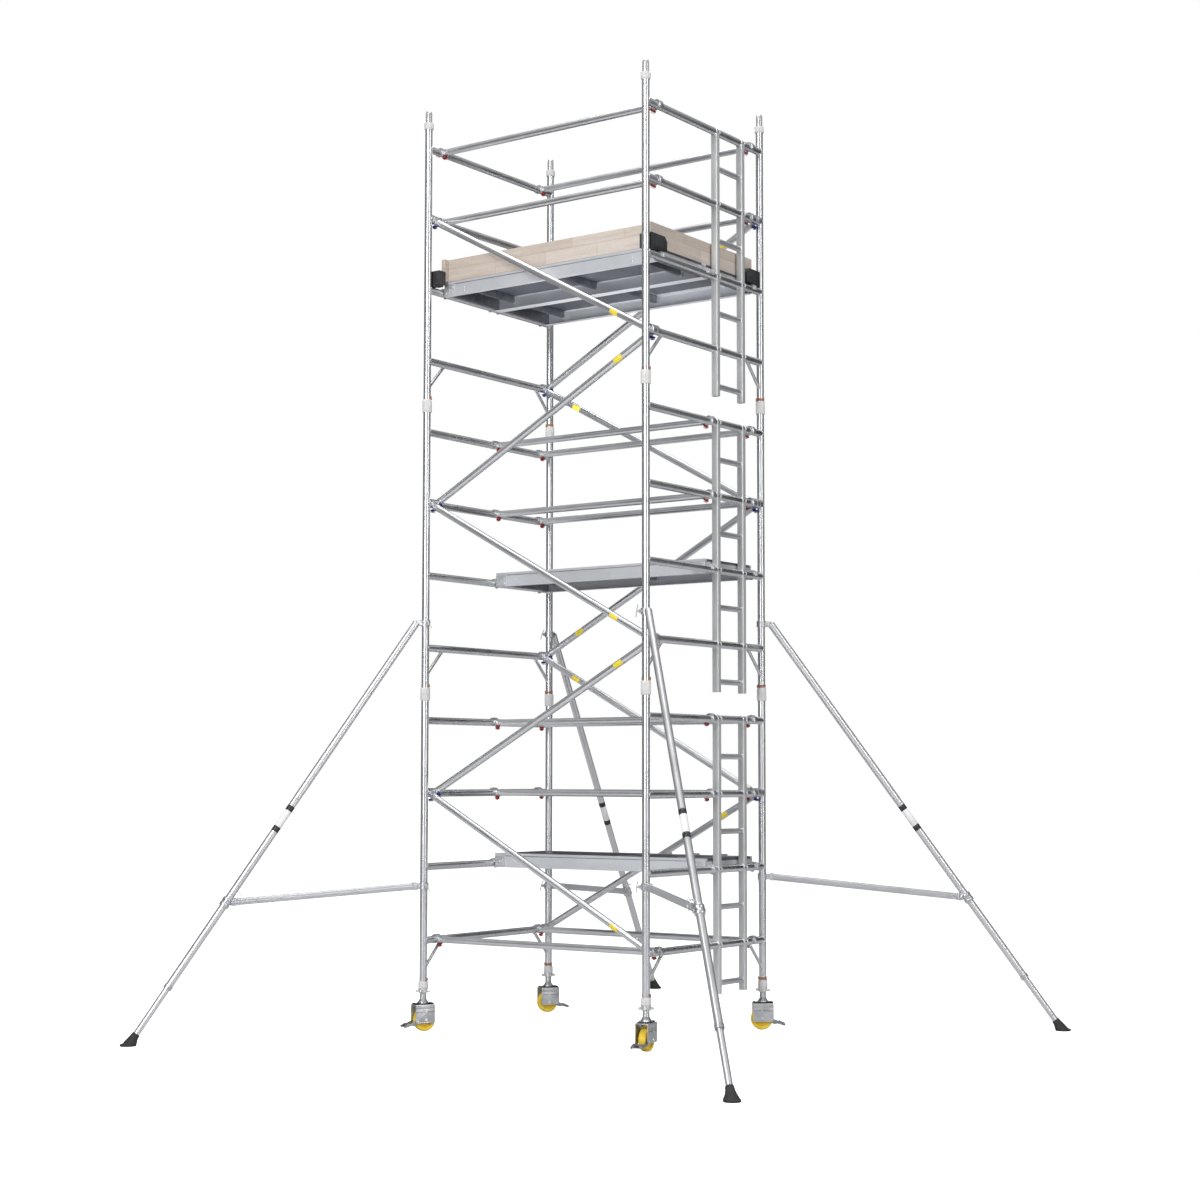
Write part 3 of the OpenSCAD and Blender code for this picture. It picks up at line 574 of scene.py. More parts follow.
POST = pipe(LIFT, POST_R, TUBE_T, 40, 0.8)
RUNG_WELD = {s: sweep_loop(saddle(POST_R + 0.6, RUNG_R + 0.9, s), 2.7, 7, wobble=0.16) for s in (-1, 1)}
STILE_WELD = sweep_loop([(u, 0.0, w) for u, w in circle(RUNG_R * 1.05, 36)], 2.4, 7, wobble=0.18)
STEP_WELD = sweep_loop([(u, 0.0, w) for u, w in circle(STEP_R + 1.0, 32)], 2.2, 7, wobble=0.18)
KNEE_WELD = sweep_loop([(u, w, 0.0) for u, w in circle(KNEE_R + 0.8, 24)], 2.0, 6, wobble=0.16)
KNEE_DROP, KNEE_RUN = 200.0, 190.0     # a knee brace's size along the post and along the rung


def end_frame(kit, x, k):
    """The posts, rungs and knee braces of lift k at one end of the tower."""
    for s in (-1, 1):
        kit.part(POST, M_FRAME, place(x, s * PY, frame_bottom(k), RNG.uniform(0, 90)))
    for i in range(1, 5):
        z = rung_z(4 * k + i)
        m, length = along((x, -PY + 15, z), (x, PY - 15, z))
        kit.part(pipe(length, RUNG_R, TUBE_T, 36), M_FRAME, m)
        for s in (-1, 1):
            kit.part(RUNG_WELD[-s], M_WELD, place(x, s * PY, z))
    z = rung_z(4 * k + 1)
    for s in (-1, 1):
        low, high = Vector((x, s * PY, z - KNEE_DROP)), Vector((x, s * (PY - KNEE_RUN), z))
        m, length = along(low, high)
        d = (high - low).normalized()
        kit.part(pipe(length - 8, KNEE_R, 2.0, 24), M_FRAME, m)
        at_post = low + d * (POST_R / abs(d.y) * 1.02)
        at_rung = high - d * (RUNG_R / abs(d.z) * 1.02)
        for p in (at_post, at_rung):
            kit.part(KNEE_WELD, M_WELD, along(p, p + d)[0])


def rounded_tube(length, sx, sy, wall, r=4.0):
    """A rectangular hollow section with rounded corners, from z = 0 up."""
    def ring(dx, dy, rr):
        pts = []
        for cx, cy, a in ((1, 1, 0), (-1, 1, 90), (-1, -1, 180), (1, -1, 270)):
            pts += arc(cx * (dx / 2 - rr), cy * (dy / 2 - rr), rr, a, a + 90, 4)
        return pts
    outer, inner = ring(sx, sy, r), ring(sx - 2 * wall, sy - 2 * wall, max(r - wall, 0.5))
    rows = [(inner, 0.0), (outer, 0.0), (outer, length), (inner, length), (inner, 0.0)]
    verts = [(px, py, z) for pts, z in rows for px, py in pts]
    n = len(outer)
    per = [0.0]
    for i in range(n):
        per.append(per[-1] + math.dist(outer[i], outer[(i + 1) % n]))
    return verts, grid_faces(len(rows), n, True), strip_uvs([z for _, z in rows], [p / per[-1] for p in per])


def ladder(kit, x, k):
    """The two box stiles of lift k with the ladder rungs between them."""
    z0, z1 = frame_bottom(k), rung_z(4 * k + 4)
    for y in STILE_Y:
        kit.part(rounded_tube(z1 - z0, STILE_X, STILE_W, 2.5), M_STILE, place(x, y, z0))
        for i in range(1, 5):
            for s in (-1, 1):
                kit.part(STILE_WELD, M_WELD, place(x, y + s * (STILE_W / 2 + 0.8), rung_z(4 * k + i)))
    heights = [rung_z(4 * k + 1) - PITCH / 2] + [rung_z(4 * k + i) + PITCH / 2 for i in range(1, 4)]
    y0, y1 = STILE_Y[0] + STILE_W / 2, STILE_Y[1] - STILE_W / 2
    for z in heights:
        m, length = along((x, y0, z), (x, y1, z))
        kit.part(pipe(length, STEP_R, 2.0, 32), M_STEP, m)
        kit.part(STEP_WELD, M_WELD, place(x, y0 + 0.8, z))
        kit.part(STEP_WELD, M_WELD, place(x, y1 - 0.8, z))


LIFTS = ("lower", "middle", "upper")
for k, lift in enumerate(LIFTS):
    kit = Kit()
    end_frame(kit, -PX, k)
    kit.build("SpanFrame_" + lift, "tower", ["span_frame_" + lift], "frame_tube")
    kit = Kit()
    end_frame(kit, PX, k)
    ladder(kit, PX, k)
    kit.build("LadderFrame_" + lift, "tower", ["ladder_frame_" + lift], "frame_tube")

SPIGOT = lathe([(17, -90), (22.9, -90), (22.9, -1), (22.7, 0), (22.7, 69), (22.2, 71), (19.4, 84), (18.4, 85),
                (17, 85), (17, -90)], 36)
COLLAR_LOW = lathe([(25.6, 0), (31.6, 0), (33, 1.4), (33, 36), (31.5, 42), (29, 46), (25.6, 46)], 40)
COLLAR_TOP = lathe([(25.6, -44), (29, -44), (31.5, -41), (33, -36), (33, -1.4), (31.6, 0), (25.6, 0)], 40)
COLLAR_RIB = block(5, 2.6, 34, 1.0)
CLIP_ARC = lathe([(25.6, 0), (29, 0), (30, 1.2), (30, 14.8), (29, 16), (25.6, 16), (25.6, 0)], 30, None,
                 25.0, 130.0)
CLIP_PAD = block(15, 34, 13, 2.2)
CLIP_EAR = block(7, 15, 22, 1.8)

spigots, collars, clips = Kit(), Kit(), Kit()
for k in range(3):
    for x, y in POSTS:
        low, top = place(x, y, frame_bottom(k)), place(x, y, frame_bottom(k + 1))
        spigots.part(SPIGOT, M_SPIGOT, top)
        collars.part(COLLAR_LOW, M_COLLAR, low)
        collars.part(COLLAR_TOP, M_COLLAR, top)
        for a in range(0, 360, 60):
            collars.part(COLLAR_RIB, M_COLLAR, low @ (rot(a, "Z") @ shift(33, 0, 18)))
            collars.part(COLLAR_RIB, M_COLLAR, top @ (rot(a, "Z") @ shift(33, 0, -19)))
        m = place(x, y, frame_bottom(k) + 50) @ rot(180 if y > 0 else 0, "Z")
        clips.part(CLIP_ARC, M_CLIP, m)
        clips.part(CLIP_PAD, M_CLIP, m @ shift(0, 26, 8))
        for s in (-1, 1):
            clips.part(CLIP_EAR, M_CLIP, m @ shift(s * 28.5, 4, 9))
spigots.build("Spigots", "tower", ["spigots"], "spigot_metal")
collars.build("Collars", "tower", ["socket_rings"], "white_plastic")
clips.build("InterlockClips", "tower", ["interlock_clips"], "clip_copper")


# ---------- braces ----------

CLAW_IN, CLAW_OUT = 25.3, 37           # radii of the jaw
CLAW_LIPS = (-52.4, 213.7)             # where the jaw ends, in degrees
NECK_HALF = 18


def claw_outline(a):
    """A jaw open at the foot, with a square neck that leaves it at angle a."""
    half = math.degrees(math.asin(NECK_HALF / CLAW_OUT))
    ca, sa = math.cos(math.radians(a)), math.sin(math.radians(a))
    neck = [(CLAW_REACH * ca - z * sa, CLAW_REACH * sa + z * ca) for z in (-NECK_HALF, NECK_HALF)]
    return (arc(0, 0, CLAW_IN, CLAW_LIPS[1], CLAW_LIPS[0], 26) + arc(0, 0, CLAW_OUT, CLAW_LIPS[0], a - half, 8)
            + neck + arc(0, 0, CLAW_OUT, a + half, CLAW_LIPS[1], 20))


CATCH = prism([(15, -41), (24, -46), (44, -35), (50, -26), (50, -18.6), (33, -18.6), (26.5, -27),
               (18, -33.3)], 18, 1.8)
CLAW_SLEEVE = lathe([(17, 0), (20, 0), (23.8, 5), (24.6, 6), (24.6, 13), (23, 14), (17, 14)], 32)
CATCH_RIB = block(26, 23.4, 2.6, 0.8)
RIVET = lathe([(5.2, 0), (5.0, 1.0), (3.6, 2.2), (0.01, 2.8)], 14)


def brace(kit, catches, catch_mat, y, z0, z1, stickers=()):
    """A tube with a cast claw and a spring catch at each end, hooked on two rungs.

    stickers are (where along the tube from 0 to 1, facing in degrees about it).
    """
    a = math.degrees(math.atan2(z1 - z0, 2 * PX))
    ends = ((shift(-PX, y, z0), a), (shift(PX, y, z1) @ scale_x(-1), -a))
    for m, t in ends:
        kit.part(prism(claw_outline(t), 38, 2.2), M_CAST, m)
        turn = m @ rot(-t, "Y")
        kit.part(CLAW_SLEEVE, M_CAST, turn @ shift(46, 0, 0) @ rot(90, "Y"))
        for s in (-1, 1):
            for u, w in ((31.5, 6.0), (43.0, -6.0)):
                kit.part(RIVET, M_BOLT, turn @ shift(u, s * 19.0, w) @ rot(-90 * s, "X"))
        catches.part(CATCH, catch_mat, turn)
        for i in range(4):
            catches.part(CATCH_RIB, catch_mat, turn @ shift(38, 0, -43.4) @ rot(-27, "Y")
                         @ shift(-9 + 6.5 * i, 0, -1.0) @ scale_x(0.1))
    d = Vector((2 * PX, 0, z1 - z0)).normalized()
    p0 = Vector((-PX, y, z0)) + d * (CLAW_REACH + 0.5)
    p1 = Vector((PX, y, z1)) - d * (CLAW_REACH + 0.5)
    m, length = along(p0, p1)
    kit.part(pipe(length, BRACE_R, 2.0, 36), M_BRACE, m)
    for where, facing in stickers:
        shell = lathe([(BRACE_R + 0.25, 0), (BRACE_R + 0.45, 0.3), (BRACE_R + 0.45, STICKER_L - 0.3),
                       (BRACE_R + 0.25, STICKER_L)], 24, None, facing - 48.0, 96.0)
        kit.part(shell, M_STICKER, m @ shift(0, 0, where * length))


RED, BLUE = Kit(), Kit()               # the spring catches of all level and all diagonal braces


def rails(name, node, ys, ns):
    """Level braces at each of the distances ys, on each of the rungs ns."""
    kit = Kit()
    for y in ys:
        for n in ns:
            brace(kit, RED, M_RED, y, rung_z(n), rung_z(n))
    kit.build(name, "tower", [node], "brace_tube")


rails("BaseBraces", "base_braces", (RAIL_FRONT, RAIL_REAR), (1,))
rails("LowerGuardrails", "lower_guardrails", (RAIL_MIDDLE, RAIL_REAR), (3, 4))
rails("MiddleGuardrails", "middle_guardrails", (RAIL_MIDDLE, RAIL_REAR), (7, 8))
rails("TopGuardrails", "top_guardrails", (RAIL_FRONT, RAIL_REAR), (11, 12))

STICKER_LOW, STICKER_HIGH = 0.14, 0.85     # where a sticker starts, as a share of the tube's length
STICKER_L = 70.0
kit = Kit()
for n in (1, 5, 9):
    brace(kit, BLUE, M_BLUE, FRONT_NEAR, rung_z(n + 2), rung_z(n), [(STICKER_HIGH, 200.0)])
for n in (3, 7):
    brace(kit, BLUE, M_BLUE, FRONT_FAR, rung_z(n), rung_z(n + 2), [(STICKER_HIGH, 200.0)])
kit.build("FrontDiagonals", "tower", ["front_diagonals"], "brace_tube")
kit = Kit()
for n, where in ((1, STICKER_HIGH), (5, STICKER_LOW), (9, STICKER_HIGH)):
    brace(kit, BLUE, M_BLUE, REAR_NEAR, rung_z(n), rung_z(n + 2), [(where, 190.0)])
for n in (3, 7):
    brace(kit, BLUE, M_BLUE, REAR_FAR, rung_z(n + 2), rung_z(n), [(STICKER_LOW, 190.0)])
kit.build("RearDiagonals", "tower", ["rear_diagonals"], "brace_tube")
RED.build("RedCatches", "tower", ["red_catches"], "red_plastic")
BLUE.build("BlueCatches", "tower", ["blue_catches"], "blue_plastic")


# ---------- decks ----------

def beam_outline():
    """C section with a rounded bead at the top and a small lip at the foot; Y is first, Z second."""
    h = BEAM_H
    pts = [(0.8, 0), (29, 0), (30, 1), (30, 4), (29, 5), (6, 5), (5, 6), (5, h - 15), (6, h - 14), (21, h - 14),
           (22, h - 13), (22, h - 1), (21, h), (1.5, h)]
    pts += arc(0, h - 3.4, 3.2, 75, 180, 5)
    pts += [(-3.2, h - 10.6)]
    pts += arc(0, h - 11.2, 3.0, 190, 260, 3)
    pts += [(0, h - 17), (0, 9), (-1.2, 7.6), (-1.2, 3.0), (-0.4, 1.2)]
    return pts


BEAM = prism(beam_outline(), 2 * END_X, 0)
HOOK = prism([(-25.2, -26), (-25.2, -4), (-24.9, -4)] + arc(0, 0, 25.3, 189.0, -9.1, 26) + [(35.8, -4)]
             + arc(0, 0, 36, -6.2, 120, 20)
             + [(-18, 34), (-19.5, 36), (-29.5, 36), (-29.9, 35), (-29.9, -26)], 24, 1.8)
DECK_BOLT = bolt(6.5, 5)
CROSS_W = 24                           # width of a cross member; the lists give the x of its left side
CROSS_HATCHED = (-730, HATCH_X0 - 26, HATCH_X1 + 2)
CROSS_PLAIN = (-730, 0, 706)
CHEEK_L = 90                           # length of the casting riveted inside each end of a beam
CHEEK_RIVETS = ((-30, 22), (30, 22), (-30, 60), (30, 60), (0, 41))


def deck(kit, y0, n, hatched):
    """Beams, ends, hooks and cross members of the deck on rung n, from y0 to y0 + DECK_W."""
    top = rung_z(n) + DECK_UP
    z0 = top - BEAM_H
    y1 = y0 + DECK_W
    members = CROSS_HATCHED if hatched else CROSS_PLAIN
    for y, s in ((y0, 1), (y1, -1)):
        # the outline's X becomes the beam's own inward side, and its depth runs along the deck
        lay = Matrix(((0, 1, 0, 0), (s, 0, 0, 0), (0, 0, 1, 0), (0, 0, 0, 1)))
        kit.part(BEAM, M_DECK, shift(0, y, z0) @ lay)
        # painted shade: a thin dark strip below the bead, for the shaded groove
        kit.part(block(2 * END_X - 190, 1.0, 4.6, 0.4), M_SHADED_DECK_METAL, shift(0, y - s * 0.2, z0 + BEAM_H - 19.5))
        for x in (CHEEK_L / 2 - END_X, END_X - CHEEK_L / 2):
            kit.part(block(CHEEK_L, 3.4, BEAM_H - 22, 1.2), M_ENDCAST, shift(x, y - s * 1.4, z0 + 40.5))
            for u, w in CHEEK_RIVETS:
                kit.part(RIVET, M_BOLT, shift(x + u, y - s * 3.1, z0 + w) @ rot(90 * s, "X"))
        for x in members:
            for w in (24, 46):
                kit.part(RIVET, M_BOLT, shift(x + CROSS_W / 2, y - s * 0.1, z0 + w) @ rot(90 * s, "X"))
    for s in (-1, 1):
        flip = scale_x(s)
        # painted shade: the end member in the darkened deck metal, for the shade inside the deck's end
        kit.part(box((END_X - 30, y0 + 5, top - 89), (END_X, y1 - 5, top - 14), 1.5), M_SHADED_DECK_METAL, flip)
        kit.part(box((END_X - 6, y0 + 8, top - 84), (END_X + 0.8, y1 - 8, top - 20), 2.0), M_ENDCAST, flip)
        for y in (y0 + 20, y1 - 20):
            m = flip @ shift(PX, y, rung_z(n))
            kit.part(HOOK, M_ENDCAST, m)
            kit.parts(DECK_BOLT, M_BOLT, m @ shift(-17.8, 0, 26) @ rot(90, "Y"))
    for x in members:
        # painted shade: cross members in the darkened deck metal, for the shade under the board
        kit.part(box((x, y0 + 24, top - 64), (x + CROSS_W, y1 - 24, top - 14), 1.5), M_SHADED_DECK_METAL)
        for ya, yb in ((y0 + 5, y0 + 30), (y1 - 30, y1 - 5)):
            kit.part(box((x - 3, ya, top - 70), (x + CROSS_W + 3, yb, top - 15), 2.0), M_ENDCAST)
    if hatched:
        kit.part(box((HATCH_X0, y1 - HINGE_BACK, top - 14), (HATCH_X1, y1 - 22, top), 1.0), M_DECK)


for name, node, y0, n, hatched in (("DeckLow", "deck_low", DECK_REAR, 2, True),
                                   ("DeckMiddle", "deck_middle", DECK_REAR, 6, True),
                                   ("DeckTopFront", "deck_top_front", DECK_FRONT, 10, False),
                                   ("DeckTopRear", "deck_top_rear", DECK_REAR, 10, True)):
    kit = Kit()
    deck(kit, y0, n, hatched)
    kit.build(name, "tower", [node], "deck_metal")

def panel(kit, x0, x1, y0, n):
    """One stretch of deck board from x0 to x1, with a row of rivets along each side."""
    z = rung_z(n) + DECK_UP
    kit.part(box((x0, y0 + 22, z - 13), (x1, y0 + DECK_W - 22, z - 1), 1.0), M_BOARD)
    x = x0 + 60
    while x < x1 - 30:
        for y in (y0 + 34, y0 + DECK_W - 34):
            kit.part(RIVET, M_BOLT, shift(x, y, z - 1.2) @ Matrix.Scale(0.7, 4, (0, 0, 1)))
        x += 180


kit = Kit()
panel(kit, -END_X, END_X, DECK_FRONT, 10)
for n in (2, 6, 10):
    panel(kit, -END_X, HATCH_X0 - 1, DECK_REAR, n)
    panel(kit, HATCH_X1 + 1, END_X, DECK_REAR, n)
kit.build("DeckPanels", "tower", ["deck_panels"], "deck_board")

HINGES_X = (200, 430, 660)
FRAME_W = 14                           # width of the metal frame round a hatch's board
for name, n in (("low", 2), ("middle", 6), ("top", 10)):
    z1 = rung_z(n) + DECK_UP
    kit = Kit()
    x0, x1, y0, y1 = HATCH_X0 + 4, HATCH_X1 - 4, DECK_REAR + 26, DECK_REAR + DECK_W - HINGE_BACK - 8
    kit.part(box((x0 + 3, y0 + 3, z1 - 12.5), (x1 - 3, y1 - 3, z1 - 1.6), 0.8), M_BOARD)
    for xa, ya, xb, yb in ((x0, y0, x1, y0 + FRAME_W), (x0, y1 - FRAME_W, x1, y1),
                           (x0, y0, x0 + FRAME_W, y1), (x1 - FRAME_W, y0, x1, y1)):
        kit.part(box((xa, ya, z1 - 13), (xb, yb, z1 - 0.9), 1.6), M_DECK)
    hinge_y, hinge_z = DECK_REAR + DECK_W - HINGE_BACK, z1 + 6
    for x in [x + s for x in HINGES_X for s in (-30.5, 30.5)]:
        kit.part(pipe(30, 6, 2.9, 20, 0.4), M_ZINC, shift(x, hinge_y, hinge_z) @ rot(90, "Y"))
        kit.part(box((x + 0.5, hinge_y - 50, z1 - 1), (x + 29.5, hinge_y - 3, z1 + 2), 0.7), M_ZINC)
        for u in (-40, -20):
            kit.part(RIVET, M_BOLT, shift(x + 15, hinge_y + u, z1 + 2))
    grip = [(HATCH_X1 - 130 + 45 * math.cos(a), y0 + 46 + 14 * math.sin(a), z1 + 0.6) for a in angles(28)]
    kit.part(sweep_loop(grip, 2.6, 8), M_ZINC)
    kit.part(box((HATCH_X1 - 70, y0 + 5, z1 - 1), (HATCH_X1 - 30, y0 + 40, z1 + 2), 1.2), M_RED)
    kit.build("Hatch_" + name, "hatch_" + name, ["hatch_" + name], "deck_board")


# ---------- toe boards and their corner clips ----------

END_LO, END_HI = DECK_FRONT - 40, DECK_REAR + DECK_W + 30     # where the two end boards start and stop
SIDE_X = TOE_X - TOE_T - 1                                    # half the length of the two side boards
FRONT_Y, REAR_Y = DECK_FRONT - 4, DECK_REAR + DECK_W + 4      # outer faces of the side boards
for side, mat, x0, x1, y0, y1 in (("Right", M_WOOD_Y, TOE_X - TOE_T, TOE_X, END_LO, END_HI),
                                  ("Left", M_WOOD_Y, -TOE_X, TOE_T - TOE_X, END_LO, END_HI),
                                  ("Front", M_WOOD_X, -SIDE_X, SIDE_X, FRONT_Y, FRONT_Y + TOE_T),
                                  ("Rear", M_WOOD_X, -SIDE_X, SIDE_X, REAR_Y - TOE_T, REAR_Y)):
    kit = Kit()
    kit.part(box((x0, y0, TOE_Z + 0.5), (x1, y1, TOE_Z + TOE_H + 0.5), 2.4, 3), mat)
    kit.build("ToeBoard" + side, "tower", ["toe_board_" + side.lower()], "toe_wood")


def toe_clip(kit, flip, yo, s, length, end):
    """A folded clip over a corner of the end board: yo is its outer end, s the way it runs from there.

    length is how far it runs, and end is where the board ends inside it.
    """
    z = rung_z(10)
    side = [(yo, z + 26), (yo + s * 40, z + 26), (yo + s * 40, z + 41), (yo + s * length, z + 41),
            (yo + s * length, z + 105), (yo + s * (length - 25), z + 137), (yo + s * 3, z + 137), (yo, z + 134)]
    inset = [(yo + s * 9, z + 50), (yo + s * (length - 9), z + 50), (yo + s * (length - 9), z + 101),
             (yo + s * (length - 30), z + 128), (yo + s * 9, z + 128)]
    kit.part(prism(side, 46, 3.0), M_BLACK, flip @ shift(END_X + 26.5, 0, 0) @ rot(90, "Z"))
    kit.part(prism(inset, 4, 1.5), M_BLACK, flip @ shift(PX + 19.5, 0, 0) @ rot(90, "Z"))
    for t in (22, length - 34):
        kit.parts(bolt(6, 4), M_DARKSTEEL, flip @ shift(PX + 20, yo + s * t, z + 74) @ rot(90, "Y"))
    lo, hi = sorted((yo, end - s))
    kit.part(box((PX - 74, lo, z + 41), (END_X + 6, hi, z + 137), 3.0), M_BLACK, flip)
    lo, hi = sorted((yo + s, yo + s * length * 0.55))
    kit.part(box((TOE_X + 0.4, lo, z + 76), (END_X + 6, hi, z + 136), 1.5), M_BLACK, flip)


kit = Kit()
for s, front, rear in ((1, 185, 169), (-1, 100, 110)):
    toe_clip(kit, scale_x(s), -665, 1, front, END_LO)
    toe_clip(kit, scale_x(s), 669, -1, rear, END_HI)
kit.build("ToeBoardClips", "tower", ["toe_board_clips"], "black_plastic")


# ---------- castors ----------

def thread(z0, z1, r, pitch=7.0, depth=1.6):
    """Outline of a coarse round thread, as rings rather than a helix."""
    pts, z = [], z0
    while z < z1:
        pts += [(r - depth, z), (r, z + pitch * 0.3), (r, z + pitch * 0.5), (r - depth, z + pitch * 0.8)]
        z += pitch
    return pts


LEG = lathe([(20, 150), (45, 181.2), (45, 188), (43.5, 190), (38.5, 191), (38, 193), (30, 203), (24.5, 213),
             (LEG_R - 1.6, 216)] + thread(218, 560, LEG_R) + [(LEG_R - 1.5, 562), (LEG_R - 1.5, 838),
                                                           (LEG_R - 3, 840), (18, 840)], 36)
KINGPIN = lathe([(0.01, 162), (16, 162), (17, 163), (17, 174.9), (0.01, 174.9)], 6)
NUT_BODY = lathe([(LEG_R + 0.3, 258), (30, 258), (32, 260), (32, 274), (30.4, 276), (32, 278), (32, 288.4),
                  (30.5, 289.9), (LEG_R + 0.3, 289.9)], 36)
NUT_WING = prism([(26, 262), (46, 260), (51, 262), (52, 270), (51, 276), (46, 278), (26, 280)], 13, 2.2)
RACE = lathe([(12, 181.1), (44.6, 181.1), (45.4, 182), (45.4, 188.5), (44, 190.2), (30, 190.6)], 40)
HOUSING_PLATE = prism([(70, HOUSING_Z - 6), (-70, HOUSING_Z - 6)] + arc(-58, 68, 12, 180, 270, 6)
                      + arc(58, 68, 12, 270, 360, 6), 4, 1.2)
HOUSING_TOP = block(140, HOUSING_W, 6, 2.4, 3)
HOUSING_LIP = block(138, 5, 26, 2.0)
# painted shade: a thin dark strip along the crease on each side of the housing
CREASE_SHADE_STRIP = block(137, 1.4, 2.6, 0.5)
# painted highlight: a thin bright strip along the fold on each side of the housing
FOLD_HIGHLIGHT_STRIP = block(112, 1.4, 3.0, 0.6)
CREASE_Z, FOLD_Z = 131, 60
# painted shade: dark gussets on the ends of the housing top stand for the shade on the top plate
SHADED_GUSSET = block(20, 62, 10, 2.4)
AXLE_BOLT, PIVOT_BOLT, CHEEK_BOLT = bolt(9, 7), bolt(5.0, 3.6, 12), bolt(5.5, 3.6, 12)
TYRE = lathe(both_ways([(50, -24), (62, -27), (67, -26.4), (71.5, -23.5), (74.2, -18), (75, -10)]), 56)
HUB = lathe(both_ways([(6.1, -29), (17, -29), (18.5, -28), (20, -25), (22, -20), (27, -19), (52, -19.5),
                       (57, -24), (60, -25)]), 48)
SPACER = pipe(11.8, 10, 3.9, 24, 0.8)
SPOKE = block(30, 5, 39.5, 1.5)
PEDAL_ARM = prism([(-8, -5), (-9, 2), (-6, 8), (0, 9.4), (8, 8), (98, -34), (96, -42), (46, -27), (28, -30),
                   (14, -28)], 6, 1.2)
PEDAL_TREAD = block(44, 82, 6, 1.8)
PEDAL_PAD = block(18, 30, 6, 1.8)
PEDAL_RIB = block(3, 70, 2.2, 0.9)

for name, (sx, sy, heading, nut_turn) in CORNERS.items():
    post = place(sx * PX, sy * PY)
    kit = Kit()
    kit.part(LEG, M_LEG, post)
    kit.part(KINGPIN, M_BOLT, post)
    kit.part(RACE, M_DARKSTEEL, post)
    for a in range(45, 360, 90):
        kit.parts(bolt(5.5, 6), M_BOLT, post @ rot(a, "Z") @ shift(38, 0, 189.6))
    kit.build("Leg_" + name, "leg_" + name, ["leg_" + name], "leg_steel")

    kit = Kit()
    at = place(sx * PX, sy * PY, 0, nut_turn)
    kit.part(NUT_BODY, M_NUT, at)
    for a in range(0, 360, 90):
        kit.part(NUT_WING, M_NUT, at @ rot(a, "Z"))
    kit.build("Nut_" + name, "nut_" + name, ["nut_" + name], "nut_metal")

    kit = Kit()
    at = place(sx * PX, sy * PY, 0, heading)
    kit.part(HOUSING_TOP, M_ZINC, at @ shift(0, 0, HOUSING_Z - 3))
    for s in (-1, 1):
        face = s * HOUSING_W / 2
        # the crease strip is painted shade and the fold strip a painted highlight, both thin strips on the side
        # faces
        for shape, mat, y, z in ((HOUSING_PLATE, M_ZINC, s * (HOUSING_W / 2 - 2), 0),
                                 (HOUSING_LIP, M_ZINC, s * (HOUSING_W / 2 - 1.6), HOUSING_Z - 16),
                                 (CREASE_SHADE_STRIP, M_DARKSTEEL, s * (HOUSING_W / 2 + 0.1), CREASE_Z),
                                 (FOLD_HIGHLIGHT_STRIP, M_BOLT, s * (HOUSING_W / 2 + 0.1), FOLD_Z)):
            kit.part(shape, mat, at @ shift(0, y, z))
        # dark gussets: painted shade on the housing's top plate
        kit.part(SHADED_GUSSET, M_DARKSTEEL, at @ shift(s * 58, 0, HOUSING_Z + 4))
        for u, w, head in ((-WHEEL_BACK, WHEEL_R, AXLE_BOLT), (*PIVOT, PIVOT_BOLT),
                           (-10, CREASE_Z, CHEEK_BOLT)):
            kit.parts(head, M_BOLT, at @ shift(u, face, w) @ rot(-90 * s, "X"))
    m, length = along((-WHEEL_BACK, -46, WHEEL_R), (-WHEEL_BACK, 46, WHEEL_R))
    kit.part(rod(length, 6), M_BOLT, at @ m)
    for u in (-40.9, 29.1):
        kit.part(SPACER, M_BOLT, at @ (shift(-WHEEL_BACK, u, WHEEL_R) @ rot(-90, "X")))
    for s in (-1, 1):
        m, length = along((PIVOT[0], s * 30, PIVOT[1]), (PIVOT[0], s * 45, PIVOT[1]))
        kit.part(rod(length, 4), M_BOLT, at @ m)
    kit.build("Housing_" + name, "fork_" + name, ["fork_" + name], "zinc_steel")

    kit = Kit()
    hub = at @ shift(-WHEEL_BACK, 0, WHEEL_R) @ rot(90, "X")
    kit.part(TYRE, M_TYRE, hub)
    kit.part(HUB, M_YELLOW, hub)
    for a in range(0, 360, 45):
        kit.part(SPOKE, M_YELLOW, hub @ rot(a, "Z") @ shift(36, 0, 0))
    kit.build("Wheel_" + name, "wheel_" + name, ["wheel_" + name], "yellow_wheel")

    kit = Kit()
    pivot = at @ shift(PIVOT[0], 0, PIVOT[1])
    for s in (-1, 1):
        kit.part(PEDAL_ARM, M_PEDAL, pivot @ shift(0, s * 34, 0))
    m, length = along((21, -31, -23), (21, 31, -23))
    kit.part(rod(length, 5), M_PEDAL, pivot @ m)
    tread = pivot @ shift(60, 0, -16.1) @ rot(25, "Y")
    kit.part(PEDAL_TREAD, M_PEDAL, tread @ shift(22, 0, 3))
    for u in (6, 13, 20):
        kit.part(PEDAL_RIB, M_PEDAL, tread @ shift(u, 0, 6.4))
    kit.part(PEDAL_PAD, M_RUBBER, tread @ shift(33, 0, 6))
    kit.build("Pedal_" + name, "pedal_" + name, ["pedal_" + name], "pedal_steel")


# ---------- stabilisers ----------

JAW = lathe(both_ways([(25.6, -21), (31, -21), (33, -19), (33, -7), (31.6, -5.5)]), 40)
TUBE_CLAMP = lathe(both_ways([(25.3, -30), (31, -30), (33, -27), (33, -9), (31, -6)]), 40)
END_BAND = lathe(both_ways([(25.2, -15), (27, -15), (28, -14)]), 36)
KNUCKLE = prism(arc(0, 0, 17, -90, 90, 12) + [(-14, 17), (-14, -17)], 34, 2.5)
TUBE_TOP_X, KNUCKLE_X, ARM_X = 66, 58, 56     # where tube, knuckle and arm start, from the post's axis
